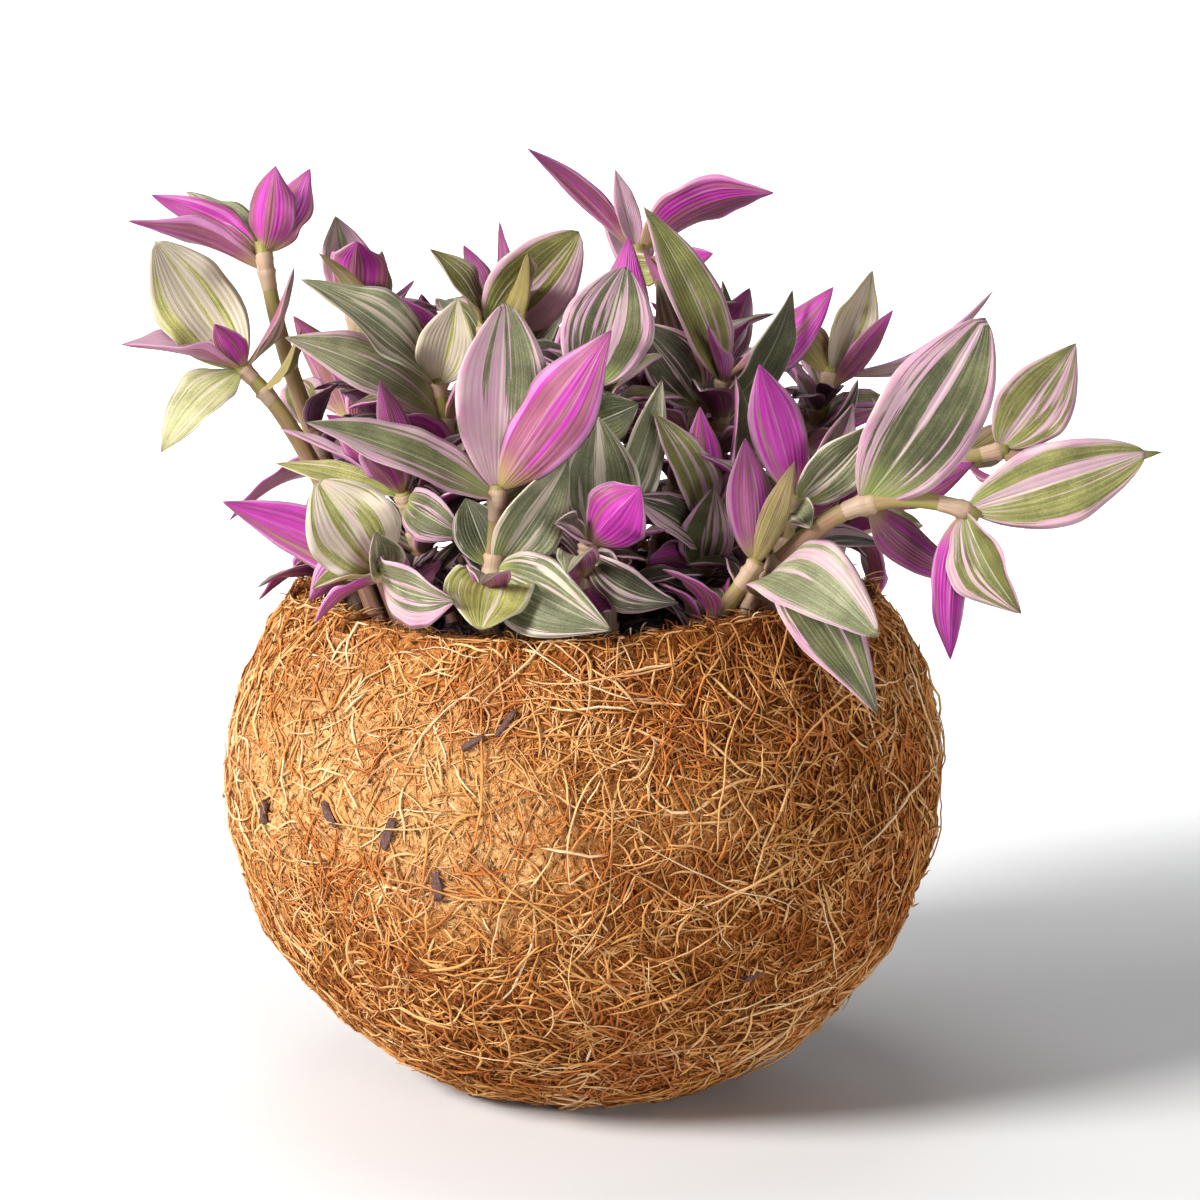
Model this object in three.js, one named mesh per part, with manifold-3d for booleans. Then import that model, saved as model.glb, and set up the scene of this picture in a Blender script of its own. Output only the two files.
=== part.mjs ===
// A tradescantia with striped pink and green leaves, growing in a round pot of matted coconut fibre.
// Millimetres, +Z up, the pot's flat base on Z = 0 with its centre at the origin, -Y is the front.
//
// The pot is a thick shell, the soil fills it, and each leafy stem is one solid: a tube with its thin
// leaf blades fused to it. A stem stands in a hole of its own in the soil.
import * as THREE from "three";
import { mergeVertices } from "three/addons/utils/BufferGeometryUtils.js";
import Module from "manifold-3d";

const wasm = await Module();
wasm.setup();

const V = (x, y, z) => new THREE.Vector3(x, y, z);
const RAD = Math.PI / 180;
const UP = V(0, 0, 1);
const VIEWER = V(0, -0.985, 0.174); // from the plant towards someone who looks at its front

// ---- Driving dimensions ----

const POT = {
  height: 111,
  bellyRadius: 80,
  bellyHeight: 72,
  lowerReach: 76, // from the belly down to where the outline would close
  lowerPower: 2.07, // 2 is an ellipse; more is squarer
  upperReach: 68,
  wall: 7,
  floor: 9,
  rounds: 36, // facets around
  relief: 0.9, // height of the matted lumps
};
// The rim is torn by hand, so it rises to the front right and to the left: [angle, height, spread].
const RIM_BUMPS = [
  [-51, 4.2, 22],
  [-147, 2.4, 18],
  [75, 2, 30],
];
const SOIL = { level: 98, crown: 3, lumps: 1.1 };
const FIT = 0.3; // gap between pieces that touch
const STEM = { footRadius: 2.7, tipRadius: 1.8, sides: 5, buried: 9, step: 14 };
const BLADE = { thickness: 0.7, rootHalf: 1, rootOut: 0.9, lastRoot: 0.97 };
// A blade of at least this width has rings at these places, from 0 at the root to 1 at the tip, and
// these lines along it, from one edge at -1 over the midrib at 0 to the other edge at 1.
const GRIDS = [
  { least: 17.5, stations: [0, 0.15, 0.38, 0.66, 0.86, 1], lines: [-1, 0, 1] },
  { least: 10.8, stations: [0, 0.17, 0.45, 0.78, 1], lines: [-1, 0, 1] },
  { least: 0, stations: [0, 0.22, 0.66, 1], lines: [-1, 1] },
];
const CLEAR = 0.4; // least gap between a blade and another shoot
const OWN_CLEAR = 0.25; // least gap between two blades of one shoot, past their roots

// ---- Shared helpers ----

// The same small random draw everywhere, so that a seed always gives the same plant.
function randomFrom(seed) {
  let state = (seed * 7919 + 12345) % 4294967296;
  return () => {
    state = (state * 1664525 + 1013904223) % 4294967296;
    return state / 4294967296;
  };
}

const mix = (a, b, f) => a + (b - a) * f;
const clamp = (x, low, high) => Math.min(high, Math.max(low, x));

function solidFrom(geometry) {
  const bare = new THREE.BufferGeometry();
  bare.setAttribute("position", geometry.getAttribute("position"));
  bare.setIndex(geometry.index);
  const merged = mergeVertices(bare, 1e-4);
  return new wasm.Manifold(
    new wasm.Mesh({
      numProp: 3,
      vertProperties: merged.attributes.position.array,
      triVerts: new Uint32Array(merged.index.array),
    }),
  );
}

function geometryFrom(solid) {
  const mesh = solid.getMesh();
  const geometry = new THREE.BufferGeometry();
  geometry.setAttribute(
    "position",
    new THREE.BufferAttribute(mesh.vertProperties, 3),
  );
  geometry.setIndex(new THREE.BufferAttribute(mesh.triVerts, 1));
  geometry.computeVertexNormals();
  return geometry;
}

// Moves each vertex of a geometry by a function of its place.
function reshape(geometry, move) {
  const position = geometry.getAttribute("position");
  for (let i = 0; i < position.count; i++) {
    const p = move(V(0, 0, 0).fromBufferAttribute(position, i));
    position.setXYZ(i, p.x, p.y, p.z);
  }
  return geometry;
}

// A closed skin over rings of equal length. The last ring may be one point. diagonal(k) says which way
// the quads of strip k are split, so that both faces of a thin blade split alike.
function loft(rings, diagonal = () => true) {
  const sides = rings[0].length;
  const points = rings.flat().flatMap((p) => [p.x, p.y, p.z]);
  const faces = [];
  for (let i = 0; i + 1 < rings.length; i++) {
    for (let k = 0; k < sides; k++) {
      const a = i * sides + k;
      const b = i * sides + ((k + 1) % sides);
      const c = b + sides;
      const d = a + sides;
      if (diagonal(k)) faces.push(a, b, c, a, c, d);
      else faces.push(a, b, d, b, c, d);
    }
  }
  const last = (rings.length - 1) * sides;
  for (let k = 1; k + 1 < sides; k++) {
    faces.push(0, k + 1, k);
    faces.push(last, last + k, last + k + 1);
  }
  const geometry = new THREE.BufferGeometry();
  geometry.setAttribute(
    "position",
    new THREE.Float32BufferAttribute(points, 3),
  );
  geometry.setIndex(faces);
  return geometry;
}

// ---- Pot ----

function potRadius(z) {
  if (z > POT.bellyHeight) {
    const above = (z - POT.bellyHeight) / POT.upperReach;
    return POT.bellyRadius * Math.sqrt(1 - above ** 2);
  }
  const below = (POT.bellyHeight - z) / POT.lowerReach;
  return (
    POT.bellyRadius * (1 - below ** POT.lowerPower) ** (1 / POT.lowerPower)
  );
}

const cavityRadius = (z) => potRadius(z) - POT.wall - 60 / (z + 12);

function rimRise(angle) {
  let rise = 0.7 * Math.sin(3 * angle);
  for (const [middle, height, spread] of RIM_BUMPS) {
    let away = angle / RAD - middle;
    away -= 360 * Math.round(away / 360);
    rise += height * Math.exp(-((away / spread) ** 2));
  }
  return rise;
}

function mattedRelief(angle, z) {
  const broad = Math.sin(5 * angle + 0.11 * z) * Math.sin(0.16 * z + 1.3);
  const fine = Math.sin(11 * angle - 0.23 * z + 2) * Math.sin(0.31 * z);
  return POT.relief * (0.75 * broad + 0.5 * fine);
}

const OUTSIDE_LEVELS = [4, 12, 23, 37, 54, 72, 88, 101];
const CAVITY_LEVELS = [SOIL.level, 66, 28, POT.floor];

function potSolid() {
  const lipRadius = potRadius(POT.height);
  const profile = [
    [0, 0],
    [potRadius(0), 0],
    ...OUTSIDE_LEVELS.map((z) => [potRadius(z), z]),
    [lipRadius - 0.8, POT.height],
    [lipRadius - POT.wall + 0.6, POT.height],
    ...CAVITY_LEVELS.map((z) => [cavityRadius(z), z]),
    [0, POT.floor],
  ].map(([r, z]) => new THREE.Vector2(r, z));
  const turned = new THREE.LatheGeometry(profile, POT.rounds).rotateX(
    Math.PI / 2,
  );
  const outsideFrom = 0.5; // the base itself stays flat
  return solidFrom(
    reshape(turned, (p) => {
      const radius = Math.hypot(p.x, p.y);
      const angle = Math.atan2(p.y, p.x);
      const outside = p.z > outsideFrom && radius > potRadius(p.z) - 1;
      const push = outside ? mattedRelief(angle, p.z) / radius : 0;
      const lift = clamp((p.z - SOIL.level) / (POT.height - SOIL.level), 0, 1);
      return V(
        p.x * (1 + push),
        p.y * (1 + push),
        p.z + rimRise(angle) * lift ** 2,
      );
    }),
  );
}

// ---- Soil ----

function soilHeight(x, y) {
  const reach = cavityRadius(SOIL.level);
  const dome = SOIL.crown * (1 - (x * x + y * y) / (reach * reach));
  const lumps = Math.sin(0.21 * x + 1) * Math.sin(0.19 * y + 0.4);
  return SOIL.level + dome + SOIL.lumps * lumps;
}

function soilSolid() {
  const rings = [0.5];
  const reach = cavityRadius(SOIL.level) - FIT;
  const profile = [
    [0, POT.floor + FIT],
    ...[...CAVITY_LEVELS].reverse().map((z) => {
      const base = z === POT.floor ? FIT : 0;
      return [cavityRadius(z) - FIT, z + base];
    }),
    ...rings.map((share) => [reach * share, SOIL.level]),
    [0, SOIL.level],
  ].map(([r, z]) => new THREE.Vector2(r, z));
  const turned = new THREE.LatheGeometry(profile, POT.rounds).rotateX(
    Math.PI / 2,
  );
  return solidFrom(
    reshape(turned, (p) => {
      const onTop =
        p.z > SOIL.level - 0.01 && Math.hypot(p.x, p.y) < reach - 0.5;
      return V(p.x, p.y, onTop ? soilHeight(p.x, p.y) : p.z);
    }),
  );
}

// ---- Stems ----

// A stem runs on a cubic curve: its foot in the soil, two points that bend it, and its tip.
function stemCurve(shoot) {
  const [x, y] = shoot.foot;
  const bends = shoot.path.map((p) => V(...p));
  return new THREE.CubicBezierCurve3(
    V(x, y, SOIL.level - STEM.buried),
    ...bends,
  );
}

// With room to spare, it is the hole that the stem stands in.
function stemSolid(curve, spare = 0) {
  const length = curve.getLength();
  const steps = clamp(Math.round(length / STEM.step), 4, 9);
  const side = V(1, 0, 0);
  const rings = [];
  for (let i = 0; i <= steps; i++) {
    const centre = curve.getPoint(i / steps);
    const along = curve.getTangent(i / steps);
    if (i === 0) centre.addScaledVector(along, -spare);
    side.addScaledVector(along, -side.dot(along)).normalize();
    const other = along.clone().cross(side);
    const radius = mix(STEM.footRadius, STEM.tipRadius, i / steps) + spare;
    const ring = [];
    for (let k = 0; k < STEM.sides; k++) {
      const angle = (2 * Math.PI * k) / STEM.sides;
      ring.push(
        centre
          .clone()
          .addScaledVector(side, radius * Math.cos(angle))
          .addScaledVector(other, radius * Math.sin(angle)),
      );
    }
    rings.push(ring);
  }
  return solidFrom(loft(rings));
}

// ---- Leaf blades ----

// Half of the blade's width at t, from 0 at the root to 1 at the tip, as a share of its greatest.
const outline = (t) => Math.sin(Math.PI * t ** 0.9) ** 0.8;

// The point at t and s of a blade's middle surface, and the direction its upper face looks there.
// s is -1 and 1 on the two edges and 0 on the midrib.
function bladePoint(leaf, t, s) {
  const { root, chord, stance } = leaf;
  const length = chord.length();
  const ahead = chord.clone().divideScalar(length);
  const face = stance.clone().addScaledVector(ahead, -stance.dot(ahead));
  face.normalize();
  const knee = root
    .clone()
    .addScaledVector(chord, 0.45)
    .addScaledVector(face, 2 * leaf.arch * length);
  const end = root.clone().add(chord);
  const centre = root
    .clone()
    .multiplyScalar((1 - t) ** 2)
    .addScaledVector(knee, 2 * t * (1 - t))
    .addScaledVector(end, t * t);
  const along = knee
    .clone()
    .sub(root)
    .multiplyScalar(1 - t)
    .addScaledVector(end.clone().sub(knee), t)
    .normalize();
  const flatUp = face.clone().addScaledVector(along, -face.dot(along));
  flatUp.normalize();
  const flatAcross = along.clone().cross(flatUp);
  const twist = leaf.twist * t;
  const up = flatUp
    .clone()
    .multiplyScalar(Math.cos(twist))
    .addScaledVector(flatAcross, Math.sin(twist));
  const across = flatAcross
    .clone()
    .multiplyScalar(Math.cos(twist))
    .addScaledVector(flatUp, -Math.sin(twist));
  const root_half = BLADE.rootHalf * (1 - t);
  const flat = leaf.width / 2 / Math.cos(0.8 * leaf.fold);
  const half = t === 1 ? 0 : Math.max(flat * outline(t), root_half);
  const fold = leaf.fold * (1 - 0.35 * t);
  const side = Math.abs(s);
  const lift = Math.sin(fold) * (0.5 * side + 0.5 * side * side);
  const phase = leaf.phase + (s > 0 ? 2.2 : 0);
  const wave =
    leaf.wave * Math.sin(3 * Math.PI * t + phase) * 4 * t * (1 - t) * side ** 2;
  const point = centre
    .addScaledVector(across, half * s * Math.cos(fold))
    .addScaledVector(up, half * (lift + wave));
  const normal = up
    .clone()
    .multiplyScalar(Math.cos(fold * side))
    .addScaledVector(across, -Math.sign(s) * Math.sin(fold * side));
  return { point, normal };
}

// A thin closed blade. Its lower face is split into triangles just as its upper face is.
function bladeSolid(leaf, from = 0) {
  const { stations, lines } = GRIDS.find(({ least }) => leaf.size >= least);
  const used = [from, ...stations.filter((t) => t > from + 0.05)];
  const section = [
    ...lines.map((s) => [s, 1]),
    ...[...lines].reverse().map((s) => [s, -1]),
  ];
  const rings = used.map((t) =>
    section.map(([s, face]) => {
      const { point, normal } = bladePoint(leaf, t, s);
      const depth = t === 1 ? 0 : (face * BLADE.thickness) / 2;
      return point.addScaledVector(normal, depth);
    }),
  );
  const strips = lines.length - 1;
  const splits = (k) =>
    k < strips ? k % 2 === 0 : (2 * strips - k) % 2 !== 0;
  return solidFrom(loft(rings, splits));
}

// What is tried, in this order, where a blade would cross another one: its tip comes nearer to the
// viewer by some millimetres, it turns round the vertical by some degrees, and it is a share of its size.
const NEARER = [0, 4, -4, 8, -8, 13, -13, 19, -19];
const TURNS = [0, 12, -12, 26, -26];
const SHARES = [1, 0.84, 0.68];
const SHIFTS = SHARES.flatMap((share) =>
  TURNS.flatMap((turn) => NEARER.map((nearer) => [nearer, turn, share])),
);

function shifted(leaf, [nearer, turn, share]) {
  const chord = leaf.chord
    .clone()
    .addScaledVector(VIEWER, nearer)
    .applyAxisAngle(UP, turn * RAD)
    .multiplyScalar(share);
  return { ...leaf, chord, width: leaf.width * Math.sqrt(share) };
}

// ---- Where the leaves are ----

// Each shoot has its foot [x, y] on the soil and the points that bend its stem. A leaf row says where
// on the stem it sits (0 foot, 1 tip), where its own tip is (x, y, z), its width, its arch as a share
// of its length, how many degrees its upper face is turned from the viewer, and its fold in degrees.
// prettier-ignore
const FRONT_SHOOTS = {
  front_left: { low: 2, foot: [-23, -46], path: [[-19, -47, 117], [-18, -48, 130], [-18, -48, 142]], leaves: [
    [1, 6, -62, 176, 19, -0.05, 170, 25],
    [0.98, -16, -54, 181, 22, -0.06, 5, 25],
    [0.93, -57, -62, 157, 15, 0.06, 40, 12],
    [0.54, 6, -70, 115, 17, 0.12, 5, 14],
    [0.5, -21, -70, 115, 15, 0.12, 0, 14],
    [0.9, -3, -36, 153, 14, 0.05, 20, 20],
    [0.55, -3, -38, 146, 14, 0.12, 15, 15],
    [0.56, -25, -40, 138, 11, 0.1, 0, 20],
    [0.42, -25, -40, 116, 9, 0.1, 20, 20],
  ] },
  right_reach: { low: 2, foot: [27, -37], path: [[36, -41, 126], [54, -50, 148], [83, -52, 136]], leaves: [
    [0.69, 83, -56, 178, 23, 0.1, 14, 8],
    [0.3, 60, -78, 115, 18, 0.26, -38, 10],
    [0.38, 61, -69, 97, 15, 0.2, -8, 10],
    [1, 117, -56, 150, 18, 0.05, 10, 10],
    [0.96, 76, -66, 108, 9, 0.05, -60, 45],
    [1, 91, -62, 117, 14, 0.08, 40, 40],
    [0.7, 84, -38, 119, 10, 0.1, 160, 20],
    [0.72, 83, -42, 146, 9, 0.05, 170, 20],
  ] },
  left_rim: { foot: [-32, -36], path: [[-34, -40, 114], [-37, -43, 121], [-44, -50, 124]], leaves: [
    [0.8, -77, -38, 137, 13, 0.05, 165, 25],
    [0.95, -55, -56, 144, 20, 0.08, 10, 20],
    [0.95, -26, -69, 121, 17, 0.1, 40, 12],
    [1, -58, -47, 117, 10, 0.2, 130, 30],
    [1, -43, -60, 134, 9, 0, 40, 50],
    [0.95, -39, -48, 130, 9, 0.05, 170, 30],
    [0.85, -57, -47, 112, 8, 0.1, 90, 30],
    [0.85, -58, -52, 121, 9, 0.1, 60, 35],
    [0.8, -30, -42, 125, 9, 0.1, 120, 20],
  ] },
  magenta_spear: { low: 3, foot: [37, -20], path: [[40, -28, 123], [44, -34, 130], [46, -36, 138]], leaves: [
    [1, 37, -44, 167, 14.5, 0.08, 175, 15],
    [0.97, 62, -44, 155, 12, 0.1, 20, 20],
    [0.85, 48, -50, 133, 8, 0.1, 0, 20],
    [0.9, 56, -28, 138, 9, 0.05, 160, 20],
    [0.95, 58, -28, 157, 8, 0.1, 30, 25],
  ] },
  purple_spear: { low: 1, foot: [16, -44], path: [[24, -46, 108], [32, -48, 118], [37, -48, 126]], leaves: [
    [1, 34, -48, 152, 12, 0.04, 178, 15],
    [0.9, 44, -44, 146, 8, 0.04, 170, 25],
  ] },
  far_left_low: { foot: [-40, -8], path: [[-54, -8, 133], [-64, -8, 152], [-76, -8, 163]], leaves: [
    [1, -101, -14, 168, 12, 0.05, 75, 35],
    [0.97, -92, -20, 145, 13, 0.12, 30, 15],
    [1, -94, -6, 190, 20, -0.12, 15, 10],
    [1, -63, -12, 185, 11, 0.05, 80, 30],
    [0.97, -80, -18, 173, 7, 0, 160, 30],
    [0.85, -61, -20, 172, 10, 0.05, 90, 30],
  ] },
  far_left_high: { low: 1, foot: [-34, 6], path: [[-58, 8, 135], [-68, 8, 158], [-72, 8, 189]], leaves: [
    [1, -68, 2, 206, 12, -0.06, 165, 35],
    [1, -61, 10, 205, 11, -0.04, 150, 30],
    [0.96, -97, 12, 199, 10, 0.05, 150, 30],
    [0.93, -101, 0, 194, 10, 0.05, 120, 30],
    [0.97, -91, 20, 200, 9, 0.05, 60, 30],
  ] },
  far_right: { low: 2, foot: [40, -4], path: [[50, -2, 128], [74, -4, 140], [94, -6, 144]], leaves: [
    [1, 108, -10, 168, 17, 0.08, 10, 8],
    [1, 130, 4, 142, 9, 0.05, 40, 20],
    [0.97, 114, -16, 146, 10, 0.05, 130, 45],
    [0.85, 95, -14, 138, 6, 0.1, 90, 25],
    [0.8, 104, 16, 152, 9, 0.1, 160, 20],
  ] },
  upper_right: { low: 4, foot: [20, 4], path: [[29, 2, 136], [31, 0, 148], [31, -2, 160]], leaves: [
    [1, 13, -12, 198, 13, 0.1, 20, 15],
    [1, 55, -6, 180, 11, 0.08, 150, 30],
    [0.8, 46, 14, 176, 12, 0.15, 30, 15],
    [0.95, 27, -14, 172, 7, 0, 120, 30],
  ] },
  crown: { low: 5, foot: [0, -14], path: [[1, -18, 130], [1, -20, 146], [1, -22, 161]], leaves: [
    [1, 9, -26, 186, 20, 0.06, 5, 12],
    [1, 10, -4, 191, 14, 0.08, 150, 30],
    [0.8, 12, -30, 157, 12, 0.1, 10, 15],
  ] },
  left_pair: { low: 3, foot: [-20, -14], path: [[-27, -14, 129], [-30, -14, 147], [-32, -14, 161]], leaves: [
    [1, -61, -22, 183, 15, 0.1, 40, 20],
    [1, -41, -26, 181, 11, 0.03, 165, 40],
    [1, -27, -22, 179, 13, 0.05, 0, 25],
    [0.8, -64, -28, 171, 15, 0.1, 40, 15],
    [0.6, -41, -30, 154, 11, 0.1, 150, 20],
  ] },
  top_left: { low: 4, foot: [-8, 10], path: [[-14, 8, 135], [-21, 4, 154], [-22, 2, 172]], leaves: [
    [1, -1, -4, 192, 19, 0.08, 15, 12],
    [1, -34, -2, 188, 10, 0.05, 60, 35],
    [1, -27, 10, 188, 9, 0.05, 150, 30],
    [0.97, -12, -16, 188, 10, 0.05, 100, 50],
    [0.95, -19, 14, 193, 8, 0.05, 120, 30],
  ] },
  top_back: { low: 2, foot: [8, 26], path: [[13, 26, 147], [13, 28, 169], [12, 26, 187]], leaves: [
    [1, -13, 20, 209, 6, 0.1, 150, 20],
    [1, 7, 26, 204, 6, 0, 20, 25],
    [0.97, 43, 18, 199, 15, 0.16, -130, 20],
    [0.93, 29, 10, 186, 8, 0.05, 150, 25],
    [0.9, 19, 12, 183, 8, 0.1, 20, 20],
  ] },
  right_back: { low: 2, foot: [30, 16], path: [[42, 14, 137], [55, 16, 143], [56, 16, 160]], leaves: [
    [1, 65, 14, 182, 11, -0.05, 20, 35],
    [0.98, 92, 10, 178, 7, 0.12, 70, 30],
    [0.95, 43, 4, 169, 10, 0.2, 140, 25],
    [0.9, 69, 4, 174, 6, 0, 150, 30],
    [0.7, 61, 0, 159, 6, 0.1, 60, 30],
  ] },
  upper_left: { low: 3, foot: [-26, 14], path: [[-42, 12, 135], [-51, 12, 153], [-52, 12, 175]], leaves: [
    [1, -56, 16, 194, 12, 0.05, 20, 30],
    [0.97, -50, 2, 189, 14, 0.05, 172, 20],
    [0.95, -46, 16, 187, 10, 0.05, 60, 30],
    [0.75, -58, 0, 186, 13, 0.1, 120, 30],
    [1, -38, 12, 180, 8, 0.1, 100, 25],
  ] },
  left_low: { low: 3, foot: [-32, -22], path: [[-33, -26, 122], [-37, -28, 131], [-39, -30, 138]], leaves: [
    [1, -55, -32, 155, 12, 0.1, 150, 20],
    [0.9, -24, -44, 130, 11, 0.15, 10, 15],
    [1, -47, -42, 149, 9, 0.05, 150, 25],
    [1, -43, -28, 161, 8, 0.05, 160, 30],
    [0.95, -67, -22, 143, 6, 0.05, 30, 25],
    [0.98, -67, -16, 150, 5, 0.05, 60, 30],
  ] },
  inner_back: { low: 5, foot: [12, -2], path: [[17, 0, 132], [24, 2, 143], [26, 2, 154]], leaves: [
    [1, 11, -10, 173, 15, 0.08, 20, 15],
    [0.95, 16, 4, 181, 12, 0.08, 20, 15],
    [0.9, 13, 14, 187, 7, 0.05, 120, 30],
  ] },
  inner_upright: { low: 4, foot: [6, -30], path: [[5, -34, 115], [4, -36, 122], [4, -36, 128]], leaves: [
    [1, 3, -40, 156, 17, 0.05, 5, 20],
    [0.97, 17, -26, 162, 10, 0.05, 30, 35],
    [0.7, -8, -26, 148, 12, 0.1, 20, 15],
  ] },
  inner_right: { low: 2, foot: [22, -20], path: [[25, -22, 115], [26, -24, 122], [26, -24, 131]], leaves: [
    [1, 15, -30, 155, 11, 0.12, 30, 35],
    [1, 25, -34, 157, 9, 0, 170, 25],
    [0.97, 33, -18, 162, 10, 0.1, 60, 40],
    [0.6, 28, -36, 140, 12, 0.05, 0, 15],
    [0.8, 10, -38, 138, 11, 0.1, 30, 25],
    [0.6, 14, -42, 125, 9, 0.1, 150, 25],
    [0.5, 31, -46, 122, 9, 0.1, 120, 45],
  ] },
  front_small: { low: 2, foot: [-4, -46], path: [[1, -46, 117], [1, -47, 124], [1, -48, 130]], leaves: [
    [1, 12, -58, 143, 15, 0, 175, 20],
    [0.98, -6, -56, 135, 8, 0.1, 60, 30],
    [0.9, 20, -60, 119, 11, 0.2, 40, 15],
    [0.7, -5, -58, 120, 9, 0.1, 150, 25],
    [0.8, 9, -56, 124, 9, 0.1, 20, 20],
    [0.6, 4, -60, 117, 8, 0.1, 160, 25],
  ] },
};

// Shoots that the front view hides grow by rule: [foot x, y], the stem's points, how many leaves, and
// the length of the longest.
// prettier-ignore
const RULED_SHOOTS = {
  back_left_reach: { foot: [-44, 20], path: [[-46, 30, 128], [-54, 46, 142], [-58, 56, 144]], count: 7, longest: 34 },
  back_left: { foot: [-26, 36], path: [[-30, 50, 126], [-34, 60, 142], [-38, 66, 152]], count: 7, longest: 36 },
  back_middle: { foot: [-6, 44], path: [[-8, 56, 124], [-6, 70, 140], [-4, 80, 144]], count: 7, longest: 40 },
  back_right: { foot: [20, 42], path: [[24, 52, 126], [28, 62, 142], [32, 68, 152]], count: 7, longest: 36 },
  back_right_reach: { foot: [38, 22], path: [[42, 32, 126], [52, 46, 138], [58, 58, 136]], count: 7, longest: 34 },
  middle_back: { foot: [-10, 28], path: [[-14, 32, 126], [-16, 36, 146], [-18, 38, 160]], count: 7, longest: 34 },
  middle_right: { foot: [34, 32], path: [[34, 34, 126], [30, 36, 146], [26, 38, 158]], count: 7, longest: 32 },
  side_right: { foot: [44, 8], path: [[50, 10, 120], [60, 16, 126], [70, 22, 122]], count: 6, longest: 26 },
  side_left: { foot: [-48, -4], path: [[-52, 6, 112], [-56, 14, 118], [-62, 20, 118]], count: 6, longest: 22 },
};

// A leaf's root lies inside the stem, on the side that the leaf leaves it.
function rootOn(curve, at, towards) {
  const centre = curve.getPoint(Math.min(at, BLADE.lastRoot));
  const along = curve.getTangent(Math.min(at, BLADE.lastRoot));
  const out = towards.clone().sub(centre).normalize();
  out.addScaledVector(along, -out.dot(along));
  return centre.addScaledVector(out, BLADE.rootOut);
}

// A hand-placed leaf turns its upper face from the viewer by the angle in its row.
function placedLeaf(curve, row) {
  const [at, x, y, z, width, arch, turn, fold] = row;
  const root = rootOn(curve, at, V(x, y, z));
  const chord = V(x, y, z).sub(root);
  const ahead = chord.clone().normalize();
  const faced = VIEWER.clone().addScaledVector(ahead, -VIEWER.dot(ahead));
  faced.normalize();
  const stance = faced.applyAxisAngle(ahead, turn * RAD);
  return { root, chord, stance, width, arch, fold: fold * RAD };
}

// A leaf by rule leaves the stem at an angle that opens towards the foot, on the side that spin says,
// with its upper face towards the stem's tip and the light.
function ruledLeaf(curve, { at, open, spin, length, arch, fold }, random) {
  const along = curve.getTangent(at);
  const side = UP.clone().cross(along);
  if (side.length() < 0.05) side.set(1, 0, 0);
  side.normalize();
  const other = along.clone().cross(side);
  const angle = open * RAD + (random() - 0.5) * 0.3;
  const turn = spin + (random() - 0.5) * 0.4;
  const grown = length * (0.88 + 0.24 * random());
  const chord = along
    .clone()
    .multiplyScalar(Math.cos(angle))
    .addScaledVector(side, Math.sin(angle) * Math.cos(turn))
    .addScaledVector(other, Math.sin(angle) * Math.sin(turn))
    .multiplyScalar(grown);
  const root = rootOn(curve, at, curve.getPoint(at).add(chord));
  const stance = along.clone().add(UP).normalize();
  const width = grown * (0.36 + 0.1 * random());
  return { root, chord, stance, width, arch, fold: fold * RAD };
}

const TWO_RANKS = 152 * RAD; // from one leaf to the next, drifting a little round the stem

// All leaves of a shoot that grows by rule, the lowest first.
function ruledLeaves(shoot, curve, random) {
  const start = random() * 2 * Math.PI;
  return Array.from({ length: shoot.count }, (_, i) => {
    const share = i / (shoot.count - 1);
    const rule = {
      at: mix(0.45, 1, share ** 0.8),
      open: mix(96, 24, share),
      spin: start + i * TWO_RANKS,
      length: shoot.longest * mix(1, 0.7, share),
      arch: mix(0.14, 0.03, share),
      fold: mix(10, 36, share),
    };
    return ruledLeaf(curve, rule, random);
  });
}

// Small leaves low on a stem whose upper leaves are placed one by one.
function lowLeaves(shoot, curve, random) {
  const start = random() * 2 * Math.PI;
  return Array.from({ length: shoot.low ?? 0 }, (_, i) => {
    const rule = {
      at: 0.28 + (0.46 * (i + 0.5)) / shoot.low,
      open: 68,
      spin: start + i * TWO_RANKS,
      length: 23,
      arch: 0.1,
      fold: 20,
    };
    return ruledLeaf(curve, rule, random);
  });
}

// The small twist and wave that the seed gives each leaf.
function finished(leaf, random) {
  const twist = (random() - 0.5) * 0.5;
  const phase = random() * 2 * Math.PI;
  const wave = 0.06 + 0.1 * random();
  return { ...leaf, size: leaf.width, twist, phase, wave };
}

// ---- Putting the plant together ----

const pot = potSolid();
let soil = soilSolid();

const shoots = Object.entries({ ...FRONT_SHOOTS, ...RULED_SHOOTS }).map(
  ([name, shoot], index) => {
    const random = randomFrom(index + 1);
    const curve = stemCurve(shoot);
    const placed = (shoot.leaves ?? []).map((row) =>
      finished(placedLeaf(curve, row), random),
    );
    const grown = shoot.count
      ? ruledLeaves(shoot, curve, random)
      : lowLeaves(shoot, curve, random);
    const ruled = grown.map((leaf) => finished(leaf, random));
    const stem = stemSolid(curve);
    return { name, curve, stem, placed, ruled, blades: [], outer: [] };
  },
);

for (const shoot of shoots) {
  soil = soil.subtract(stemSolid(shoot.curve, FIT * 1.3));
}

function boxesMeet(a, b, margin) {
  const p = a.boundingBox();
  const q = b.boundingBox();
  return [0, 1, 2].every(
    (i) => p.min[i] - margin < q.max[i] && q.min[i] - margin < p.max[i],
  );
}

const apart = (a, b, gap) =>
  !boxesMeet(a, b, gap) || a.minGap(b, gap) >= gap * 0.999;

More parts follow.
